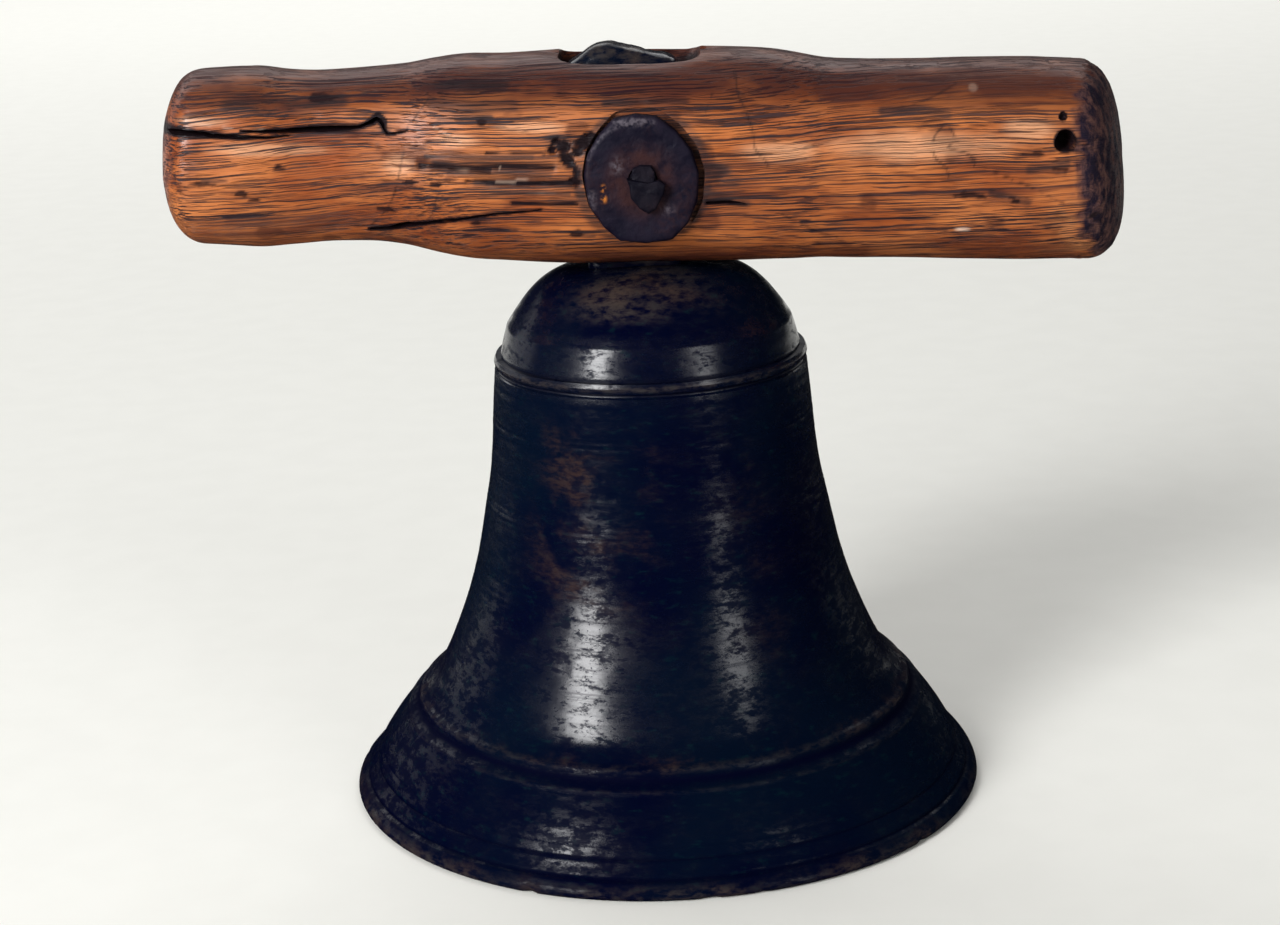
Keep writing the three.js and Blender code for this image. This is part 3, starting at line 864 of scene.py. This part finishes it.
def carve_marks(points):
    """Whittled flats, raised grain, gouges and chewed spots beside the rove, and a worn mouth."""
    x, y, z = points.T
    out = beside(0 * x, y, z - HANDLE_AXIS)
    out /= np.maximum(lengths(out), 0.5)[:, None]
    push = 0.3 * fractal(points, (34, 9, 9), 101, 2)
    push += 0.055 * fractal(points, (11, 1.1, 1.1), 107, 2)
    push -= 0.16 * smoothstep(value_noise(points, (5.5, 3.2, 3.2), 113), 0.62, 0.95)
    ends = np.maximum(smoothstep(x, 95, 101), 0.6 * fade(x, -107, -103))
    push += ends * 0.3 * fractal(points, (2.6, 1.5, 1.5), 127)
    front = on_front(points)
    flat = points[:, [0, 2]]
    ragged = 0.5 + 0.5 * value_noise(points, (1.8, 0.7, 0.7), 131)
    for line, half_width, depth in GOUGES:
        reach, along = distance_to_line(flat, line)
        taper = 0.35 + 0.65 * np.sin(math.pi * np.clip(along, 0.05, 0.98))
        scooped = fade(reach, 0.3 * half_width, half_width * (0.7 + taper))
        push -= front * depth * (0.35 + 0.65 * ragged) * scooped
    warp = chew_warp(points)
    for cx, cz, radius in CHEWED:
        reach = np.hypot(x - cx, z - cz) * warp
        push -= front * (0.15 + 0.9 * ragged) * fade(reach, 0.35 * radius, 1.2 * radius)
    near_mouth = smoothstep(np.hypot((x + 2.5) / 17, y / 12), 1.35, 0.75) * smoothstep(z, 12, 20) * (y < 2)
    push -= near_mouth * 0.9
    return points + out * push[:, None]


def crack_cutter(name, line, widths, depth):
    """A thin ragged wedge that opens a crack along a line on the front of the handle."""
    line = even_steps(np.asarray(line, dtype=float), 1.1)
    width = np.interp(np.linspace(0, 1, len(line)), np.linspace(0, 1, len(widths)), widths)
    along = unit(np.gradient(line, axis=0))
    side = beside(-along[:, 1], along[:, 0])
    probe = beside(line[:, 0], np.zeros(len(line)), line[:, 1])
    wander = 0.22 * value_noise(probe, 3, 137) + 0.12 * value_noise(probe, 1.1, 139)
    line = line + side * wander[:, None]
    spread = width * (0.85 + 0.3 * value_noise(probe, 2, 149))
    surface = front_depth(line)
    upper = line + side * spread[:, None] * 0.62
    lower = line - side * spread[:, None] * 0.62
    deep = surface - depth * np.clip(width / max(widths), 0.35, 1)
    proud = surface + 2.5
    shape = []
    for flat, out in ((upper, proud), (upper, surface - 0.4 * depth), (line, deep),
                      (lower, surface - 0.4 * depth), (lower, proud)):
        inset = flat if out is proud or flat is line else line + (flat - line) * 0.75
        shape.append(beside(inset[:, 0], -out, inset[:, 1]))
    rings = np.stack(shape, axis=1)
    ends = [rings[0].mean(axis=0), rings[-1].mean(axis=0)]
    points = np.vstack([rings.reshape(-1, 3), ends])
    return add_object(name, points, loft_faces(len(rings), 5))


def front_depth(flat):
    """How far the front surface stands in front of the axis at each (x, z)."""
    half = cubic(HALF_THICKNESS, flat[:, 0])
    up = (flat[:, 1] - HANDLE_AXIS - cubic(RISE, flat[:, 0])) / half
    return half * DEPTH_RATIO * (1 - np.abs(np.clip(up, -0.98, 0.98)) ** SQUARENESS) ** (1 / SQUARENESS)


# Cracks: name, line, half widths along it, and depth.
CRACKS = [
    ("crack_left", [(-112, 9.9), (-104, 9.6), (-99, 9.2), (-94, 8.8), (-88, 8.4), (-82, 8.3),
      (-77, 8.7)], [1.9, 1.8, 1.4, 1, 0.6, 0.15], 4.5),
    ("crack_middle", [(-87.5, 9.7), (-81, 9.7), (-74, 9.9), (-67, 10), (-62, 10.4),
      (-58.5, 11.6)], [0.2, 0.8, 1.1, 1.1, 0.9, 1.1], 3.5),
    ("crack_knot", [(-60, 11.2), (-57.6, 12.4), (-56.5, 11.6), (-56.3, 10), (-55.4, 8.9),
      (-53.6, 9.2), (-51.2, 9.9)], [0.9, 1.8, 1.4, 0.6, 0.5, 0.4, 0.15], 2.6),
    ("crack_lower", [(-60.5, -12.6), (-56, -12), (-50, -10.9), (-44, -9.9), (-38, -8.9),
      (-32, -8.1), (-22, -6.9)], [0.7, 1.2, 1, 0.8, 0.6, 0.45, 0.2], 2.8),
    ("split_right", [(13.8, -5.2), (18, -5), (22.5, -5.6)], [0.7, 0.8, 0.2], 1.6),
]

MORTISE = {"left": -17.7, "right": 9.8, "half_width": 7.7}
MORTISE_COLUMNS, MORTISE_SQUARENESS = 72, 5
# How far each side of the mortise is worn back, at heights above the pin: left, right, front, rear.
MORTISE_WEAR = [
    (-34, 3, 1.2, 2, 2), (-21, 1.6, 0.2, 0.9, 0.9), (-17, 0, 0, 0, 0), (10, 0, 0, 0, 0),
    (17, 0.5, 0.05, 0.4, 0.4), (21, 0.9, 0.5, 1.8, 1.4), (24, 1, 2.2, 3.4, 3), (30, 1.2, 6, 6, 6),
]


def mortise_cutter():
    outline = rounded(circle(MORTISE_COLUMNS), MORTISE_SQUARENESS)
    levels = even_steps(np.array(MORTISE_WEAR, dtype=float), 1.6)
    rings = []
    for z, left, right, front, rear in levels:
        x0, x1 = MORTISE["left"] - left, MORTISE["right"] + right
        y0, y1 = -MORTISE["half_width"] - front, MORTISE["half_width"] + rear
        ring = beside(
            (x0 + x1) / 2 + (x1 - x0) / 2 * outline[:, 0],
            (y0 + y1) / 2 + (y1 - y0) / 2 * outline[:, 1],
            np.full(len(outline), z),
        )
        ring[:, :2] += 0.25 * value_noise(ring, (6, 6, 3), 151)[:, None] * np.sign(outline)
        rings.append(ring)
    points = np.vstack(rings + [rings[0].mean(axis=0), rings[-1].mean(axis=0)])
    return add_object("mortise_cut", points, loft_faces(len(rings), len(outline)))


# The front rove's hand-cut outline in X and Z; its recess follows it a little wider.
ROVE_OUTLINE = [
    (-12.9, 0.4), (-12.1, 5.2), (-9.7, 9.4), (-6.4, 13), (-1.6, 14.1), (3, 13.6), (7.3, 10.5),
    (10.6, 6.4), (12.2, 1.2), (11.9, -4.8), (9.9, -9.6), (6.6, -13.2), (1, -14), (-5, -13.5),
    (-8.5, -10.6), (-11.6, -6),
]


# The rove's edge: depth from its seat, and the share of the outline there.
ROVE_EDGE = [
    (0, 0.985), (0.25, 0.997), (0.8, 1), (1.6, 1), (2.2, 0.995), (2.55, 0.982), (2.8, 0.962),
    (2.92, 0.935), (2.96, 0.9),
]


def cut_outline(corners, step=0.55, soften=2):
    """Straight cuts between corners, with each corner slightly eased."""
    closed = np.vstack([corners, corners[:1]])
    line = even_steps(closed, step)[:-1]
    for _ in range(soften):
        line = (np.roll(line, 1, axis=0) + 2 * line + np.roll(line, -1, axis=0)) / 4
    return line


def handle():
    points, faces = handle_blank()
    piece = add_object("oak_handle", carve_marks(slant_ends(points)), faces)
    combine(piece, mortise_cutter())
    combine(piece, round_bar("pin_bore", PIN_RADIUS + GAP, 80))
    for side in (-1, 1):
        outline = cut_outline(np.array(ROVE_OUTLINE) * [-side, 1])
        seat = prism("rove_seat", outline, [(side * (ROVE_SEAT - 0.1), 1.06), (side * 40, 1.09)])
        move_points(seat, points_of(seat) + [-side * 0.5, 0, 0.45])
        combine(piece, seat)
    for name, line, widths, depth in CRACKS:
        combine(piece, crack_cutter(name, line, widths, depth))
    for x, z, radius, depth in WORM_HOLES:
        y = -front_depth(np.array([[x, z]]))[0]
        combine(piece, worm_hole(x, y, z, radius, depth))
    paint_handle(piece)
    move_mesh(piece.data, HANDLE_FRAME)
    finish_piece(piece, oak_material(), "handle", "handle")


def worm_hole(x, y, z, radius, depth):
    """A ragged round-bottomed hole, drawn as a short bar that narrows inwards."""
    turn = full_turn(HOLE_COLUMNS)
    ring = beside(np.cos(turn), 0 * turn, np.sin(turn))
    ragged = 1 + 0.12 * value_noise(ring * 3 + x, 1.3, 163) - 0.1 * np.sin(3 * turn)
    outline = (ring * ragged[:, None])[:, [0, 2]]
    rings = [(-4, radius * 1.15), (0, radius), (0.6 * depth, radius * 0.9), (depth, radius * 0.35)]
    return prism("worm_hole", outline, rings, Matrix.Translation((x, y, z)))


def stain_of(points, surface):
    """Dark stains on the front and round the roves, and painted shade over the whole inside of the
    mortise.
    """
    x, y, z = points.T
    grain = 0.5 + 0.5 * value_noise(points, (7, 1.1, 1.1), 167)
    stain = np.zeros(len(points))
    for line, half_width in STAINS:
        reach, _ = distance_to_line(points[:, [0, 2]], line)
        spread = fade(reach, 0.25 * half_width, half_width * 1.2)
        stain = np.maximum(stain, spread * (0.45 + 0.55 * grain))
    rim = np.abs(np.hypot(x, z / 1.05) - 13.9)
    # painted shade: the walls of the mortise are darkened all over
    hollow = fade(surface, 0.925, 0.985)
    inside = hollow * (np.abs(y) < 9.5) * (x > MORTISE["left"] - 8) * (x < MORTISE["right"] + 8)
    rubbed = 0.75 * fade(rim, 0.5, 1.9) * smoothstep(np.abs(y), 12, 17)
    return highest(stain * on_front(points), rubbed, inside), inside


def ink_of(points):
    """Thin dark lines, painted shade in and along the cracks, the dark edges of gouges and holes, and dark
    spots in the grain.
    """
    x, y, z = points.T
    flat = points[:, [0, 2]]
    ink = np.zeros(len(points))
    broken = smoothstep(value_noise(points, 1.4, 179), -0.45, 0.15)
    for line in INK_LINES:
        reach, _ = distance_to_line(flat, smooth_line(line, 8))
        ink = np.maximum(ink, 0.6 * broken * fade(reach, 0.08, 0.42))
    # painted shade: each crack and a thin margin beside it are darkened
    for _, line, widths, _ in CRACKS:
        reach, along = distance_to_line(flat, line)
        half = np.interp(along, np.linspace(0, 1, len(widths)), widths) * 0.62
        ink = np.maximum(ink, fade(reach - half, 0, 0.34))
    torn = smoothstep(value_noise(points, (6, 0.7, 0.7), 185), -0.85, -0.4)
    for line, half_width, _ in GOUGES:
        reach, _ = distance_to_line(flat, line)
        ink = np.maximum(ink, torn * fade(reach, 0.55 * half_width, 1.15 * half_width))
    for hx, hz, radius, _ in WORM_HOLES:
        ink = np.maximum(ink, fade(np.hypot(x - hx, z - hz), 1.02 * radius, 1.22 * radius))
    warp = chew_warp(points)
    for cx, cz, radius in CHEWED:
        reach = np.hypot(x - cx, z - cz) * warp
        ink = np.maximum(ink, fade(reach, 0.85 * radius, 1.25 * radius))
    warp = 1 + 0.5 * fractal(points, (2, 0.7, 0.7), 189, 2)
    for cx, cz, wide, high in SPOTS:
        reach = np.hypot((x - cx) / wide, (z - cz) / high) * warp
        ink = np.maximum(ink, 0.9 * fade(reach, 0.75, 1.25))
    return ink


def bare_of(points):
    """Scratches down to clean wood, and two small flakes."""
    x, y, z = points.T
    bare = np.zeros(len(points))
    broken = smoothstep(value_noise(points, (2.2, 0.8, 0.8), 181), -0.3, 0.3)
    for line in SCRATCHES:
        reach, _ = distance_to_line(points[:, [0, 2]], line)
        bare = np.maximum(bare, 0.3 * broken * fade(reach, 0.05, 0.36))
    large_flake = 0.8 * fade(np.hypot((x - 70.4) / 2.1, (z + 11.6) / 0.6), 0.4, 1.1)
    small_flake = 0.16 * fade(np.hypot((x - 71.8) / 1.2, (z - 19) / 1), 0.5, 1.1)
    return highest(bare, large_flake, small_flake)


def paint_handle(piece):
    points = points_of(piece)
    x, y, z = points.T
    front = on_front(points)
    patch = 0.5 + 0.5 * fractal(points, (7, 5, 5), 173)
    surface = np.hypot(y / DEPTH_RATIO, z - HANDLE_AXIS - cubic(RISE, x)) / cubic(HALF_THICKNESS, x)
    stain, inside = stain_of(points, surface)
    mottle = fractal(points, (3, 1.6, 1.6), 183)
    edge = 92.4 - 0.1 * (z - 18) + 2.4 * (patch - 0.5) + 1.5 * mottle
    from_front = np.where(y < 2, edge + 0.62 * np.maximum(0, y + 20), 106)
    facing = read_vectors(piece.data.vertex_normals, "vector")[:, 0] + 0.14 * mottle
    end = highest(
        smoothstep(x - from_front, -0.9, 1.3),
        smoothstep(facing, 0.42, 0.72) * (x > 90),
        0.7 * smoothstep(-facing, 0.84, 0.98) * (x < -90),
    )
    golden = hump(x - from_front, -2.6, 4.5) * smoothstep(patch, 0.35, 0.75) * front * (z < 10)
    left_end = fade(x, -107.5, -97) * smoothstep(-z, 2, 12) * (0.35 + 0.5 * patch) * (1 - end)
    top = smoothstep(z - HANDLE_AXIS, 9, 18) + 0.35 * smoothstep(HANDLE_AXIS - z, 13, 20)
    top += 0.5 * hump(x, 2, 45) * smoothstep(HANDLE_AXIS - z, 13, 19)
    shade = np.clip(top * (0.7 + 0.45 * patch), 0, 0.95)
    # painted sheen: the pale areas are partly handling wear, partly the lamps' sheen painted into the
    # colour
    pale = np.zeros(len(points))
    for cx, cz, wide, high in PALE_WEAR_AND_SHEEN:
        reach = np.hypot((x - cx) / wide, (z - cz) / high)
        pale = np.maximum(pale, fade(reach + 0.35 * (patch - 0.5), 0.25, 1.1))
    paint(
        piece,
        pale=0.55 * pale * front * (1 - end),
        stain=stain,
        # the inside of the mortise is painted dark as shade in this layer too
        ink=np.maximum(ink_of(points) * front, 0.9 * inside),
        bare=bare_of(points) * front,
        end=end,
        gold=0.75 * np.maximum(golden, left_end),
        shade=np.maximum(shade, 0.55 * smoothstep(patch, 0.62, 0.9)),
    )


# ---------------------------------------------------------------- roves and cross pin

def rove(name, node, side):
    """A hand-cut iron washer, hammered, with a dull bevelled edge; side is -1 at the front."""
    outline = cut_outline(np.array(ROVE_OUTLINE) * [-side, 1], 0.5, 1)
    inner = ROVE_SEAT + GAP
    dome = np.linspace(0.04, 1, 28)
    levels = ROVE_EDGE + [(2.96 + 0.1 * math.sin(math.pi * t), 0.9 - 0.57 * t) for t in dome]
    rings = [(side * (inner + depth), scale) for depth, scale in levels]
    piece = prism(name, outline, rings)
    combine(piece, round_bar("rove_hole", PIN_NECK + GAP, 80))
    points = points_of(piece)
    face = smoothstep(side * points[:, 1], inner + 1, inner + 2.6)
    beaten = 0.16 * fractal(points, 4.2, 191, 2) + 0.05 * fractal(points, 1.1, 193, 2)
    points[:, 1] += side * face * beaten
    edge = smoothstep(np.hypot(points[:, 0], points[:, 2]), 10, 13)
    points[:, [0, 2]] *= (1 + 0.008 * edge * fractal(points, 2.4, 197, 2))[:, None]
    move_points(piece, points)
    reach = np.hypot(points[:, 0], points[:, 2])
    x, z = -side * points[:, 0], points[:, 2]
    worn = hump(z, 12.4, 1.6) * hump(x, -3, 6) + 0.9 * hump(x, -5.6, 2.2) * hump(z, 3.2, 3)
    worn += 0.8 * hump(x, -11.2, 1.8) * hump(z, -4.4, 3.2)
    worn += 0.5 * hump(reach, 12.8, 0.9) * (z > 4) * (x < 3)
    worn += 0.5 * hump(x, 5.5, 2.5) * hump(z, -6.5, 2)
    spots = hump(x, -8.4, 1) * hump(z, -4.2, 1.2) + 0.9 * hump(x, -8.6, 0.8) * hump(z, -1.9, 1.4)
    halo = 0.9 * hump(reach, 5, 5.5) * (1 - 0.6 * smoothstep(x, 4, 9))
    halo += 0.5 * hump(x, -9, 4) * hump(z, -4, 5)
    paint(piece, wear=worn * face, halo=halo, rust=spots)
    move_mesh(piece.data, HANDLE_FRAME)
    finish_piece(piece, IRON["rove"], node, "handle")


# The pin's hammered end in X and Z: a shield with a small square spur above it.
SHIELD = [
    (-3.5, 0.5), (-0.6, 0), (1.2, -0.3), (3.5, 0.3), (4.9, -0.7), (4.6, -2.6), (2.9, -6), (1.3, -7.1),
    (-0.6, -6), (-2.6, -3.7), (-2.9, -1.3),
]
SPUR = [(-2.5, -0.8), (-2.3, 2.6), (-0.6, 3.4), (1.8, 3.3), (2.7, 2), (2.7, -0.8)]


def pin_end(name, corners, heights, side):
    corners = np.array(corners, dtype=float)
    corners[:, 0] *= -side
    middle = corners.mean(axis=0)
    outline = cut_outline(corners - middle, 0.35, 0)
    rings = [(side * (ROVE_SEAT + depth), scale) for depth, scale in heights]
    piece = prism(name, outline, rings)
    move_points(piece, points_of(piece) + [middle[0], 0, middle[1]])
    return piece


def cross_pin():
    reach = ROVE_SEAT + ROVE_THICKNESS + 0.5
    rings = [(y, PIN_RADIUS * (0.985 + 0.012 * math.sin(y * 0.9))) for y in np.linspace(-20, 20, 50)]
    upset = [(20.25, PIN_NECK), (21.5, PIN_NECK), (23.2, PIN_NECK), (23.45, 2.8)]
    rings = [(-y, radius) for y, radius in reversed(upset)] + rings + upset
    piece = prism("pin_iron", circle(40), rings)
    top = ROVE_THICKNESS + GAP
    for side in (-1, 1):
        head = [(top + 0.1, 0.9), (top + 0.25, 1), (top + 1.9, 1), (top + 2.2, 0.94), (top + 2.35, 0.8),
                (top + 2.4, 0.5), (top + 2.4, 0.2)]
        combine(piece, pin_end("shield", SHIELD, head, side), "UNION")
        spur = [(top + 0.1, 0.9), (top + 0.25, 1), (top + 1.3, 0.98), (top + 1.6, 0.85), (top + 1.65, 0.4)]
        combine(piece, pin_end("spur", SPUR, spur, side), "UNION")
    points = points_of(piece)
    beaten = 0.25 * fractal(points, 2.2, 211, 2) * smoothstep(np.abs(points[:, 1]), reach, reach + 1.2)
    points[:, 1] += np.sign(points[:, 1]) * beaten
    move_points(piece, points)
    outer = smoothstep(np.abs(points[:, 1]), reach + 1, reach + 2)
    wear = 0.15 * outer * hump(points[:, 0], 1.2, 2) * hump(points[:, 2], 1.2, 1.6)
    rust = 0.35 * outer * hump(points[:, 0], 3.4, 1.6) * hump(points[:, 2], 1.4, 1.4)
    paint(piece, wear=wear, rust=rust)
    move_mesh(piece.data, HANDLE_FRAME)
    finish_piece(piece, IRON["pin"], "cross_pin", "handle")


SHARP_TURN = math.radians(42)


def finish_piece(piece, material, node, body):
    """Gives a piece its material and its place in the frame."""
    mesh = piece.data
    mesh.materials.clear()
    mesh.materials.append(material)
    mesh.polygons.foreach_set("material_index", [0] * len(mesh.polygons))
    mesh.polygons.foreach_set("use_smooth", [True] * len(mesh.polygons))
    sharpen(mesh, SHARP_TURN)
    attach(piece, body)
    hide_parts(node)


def sharpen(mesh, angle):
    """Marks the edges that turn by more than this angle, so that they are shaded as real edges."""
    bm = bmesh.new()
    bm.from_mesh(mesh)
    for edge in bm.edges:
        edge.smooth = len(edge.link_faces) == 2 and edge.calc_face_angle(0) < angle
    bm.to_mesh(mesh)
    bm.free()
    mesh.update()


# ---------------------------------------------------------------- stage, light and camera

def stage_floor():
    """A large pale floor in two parts. Reflections miss the front part: the room there is dark."""
    s = Shader("floor_paper")
    grain = s.noise((60, 60, 60), 3, 0.5)
    color = s.mix(s.band(grain, 0.3, 0.7), (0.865, 0.862, 0.815), (0.88, 0.877, 0.83))
    paper = s.finish(color, 0.9, grain, 0.02, 0, 0.2)
    side = 5
    for name, near, far in (("floor_front", -3, 0.5), ("floor_back", 0.5, 7)):
        mesh = bpy.data.meshes.new(name)
        corners = [(-side, near, 0), (side, near, 0), (side, far, 0), (-side, far, 0)]
        mesh.from_pydata(corners, [], [(0, 1, 2, 3)])
        mesh.materials.append(paper)
        floor = new_object(name, mesh)
        floor.visible_glossy = near > 0


def area_light(name, place, target, size, power, mirrored=True):
    """A rectangular soft light at one place, turned towards another."""
    lamp = bpy.data.lights.new(name, "AREA")
    lamp.shape = "RECTANGLE"
    lamp.size, lamp.size_y = size
    lamp.energy = power
    box = new_object(name, lamp)
    box.location = place
    box.visible_glossy = mirrored
    box.rotation_euler = (Vector(place) - Vector(target)).to_track_quat("Z", "Y").to_euler()


BELL_MIDDLE = Vector((0, 0, 80 * MM))


def around(azimuth, elevation, distance):
    """A place seen from the bell in this direction; azimuth is from the front, positive right."""
    turn, lift = math.radians(azimuth), math.radians(elevation)
    way = Vector((math.sin(turn) * math.cos(lift), -math.cos(turn) * math.cos(lift), math.sin(lift)))
    return BELL_MIDDLE + way * distance


def world_light():
    """A room that is seen as a pale wall, lights the floor a little, and is dark in reflections."""
    world = bpy.data.worlds.new("room")
    world.use_nodes = True
    tree = world.node_tree
    rays = tree.nodes.new("ShaderNodeLightPath")
    color = (0.01, 0.01, 0.012)
    for kind, seen in (("Is Diffuse Ray", (0.15, 0.15, 0.15)), ("Is Camera Ray", (0.8, 0.8, 0.78))):
        mix = tree.nodes.new("ShaderNodeMix")
        mix.data_type = "RGBA"
        for index, value in ((0, rays.outputs[kind]), (6, color), (7, seen)):
            put(tree, mix.inputs[index], value)
        color = mix.outputs[2]
    tree.links.new(color, tree.nodes["Background"].inputs["Color"])
    bpy.context.scene.world = world


def lights():
    area_light("key_left", around(-42, 22.5, 1.5), BELL_MIDDLE, (0.42, 0.96), 26.6)
    area_light("fill_right", around(40, 17, 1.5), BELL_MIDDLE, (0.34, 0.94), 4.4)
    area_light("bounce_left", around(-118, 14, 1.6), BELL_MIDDLE, (0.9, 0.8), 1.2)
    area_light("overhead_front", (0, -3.2, 1.9), (0, -3.2, 0), (5, 2.4), 20, False)
    area_light("overhead", (-0.6, 2.4, 1.9), (-0.6, 2.3, 0), (4.6, 2.8), 78)


CAMERA_PLACE = (0, -520.3 * MM, 227.5 * MM)
CAMERA_DOWN, CAMERA_LEFT, CAMERA_ROLL = 16.8, 0.557, -2.596


def camera():
    lens = bpy.data.cameras.new("camera")
    lens.sensor_width = 36
    lens.lens = 64.873
    lens.shift_x, lens.shift_y = 0.00438, 0.01914
    eye = new_object("camera", lens)
    look = (
        Matrix.Rotation(math.radians(CAMERA_LEFT), 4, "Z")
        @ Matrix.Rotation(math.radians(90 - CAMERA_DOWN), 4, "X")
        @ Matrix.Rotation(math.radians(CAMERA_ROLL), 4, "Z")
    )
    eye.matrix_world = Matrix.Translation(CAMERA_PLACE) @ look
    bpy.context.scene.camera = eye


IRON = {
    "rove": iron_material("rove_iron", (0.0026, 0.002, 0.011), (0.0085, 0.0054, 0.0165), 0.32),
    "pin": iron_material("pin_iron", (0.0018, 0.0014, 0.007), (0.006, 0.0036, 0.0095), 0.2),
    "inner": iron_material("inner_iron", (0.02, 0.014, 0.013), (0.06, 0.043, 0.038), 0.8),
}
bell()
crown_staple()
clapper()
handle()
rove("rove_iron_front", "rove_front", -1)
rove("rove_iron_rear", "rove_rear", 1)
cross_pin()
stage_floor()
world_light()
lights()
camera()
bpy.context.scene.view_settings.view_transform = "Standard"
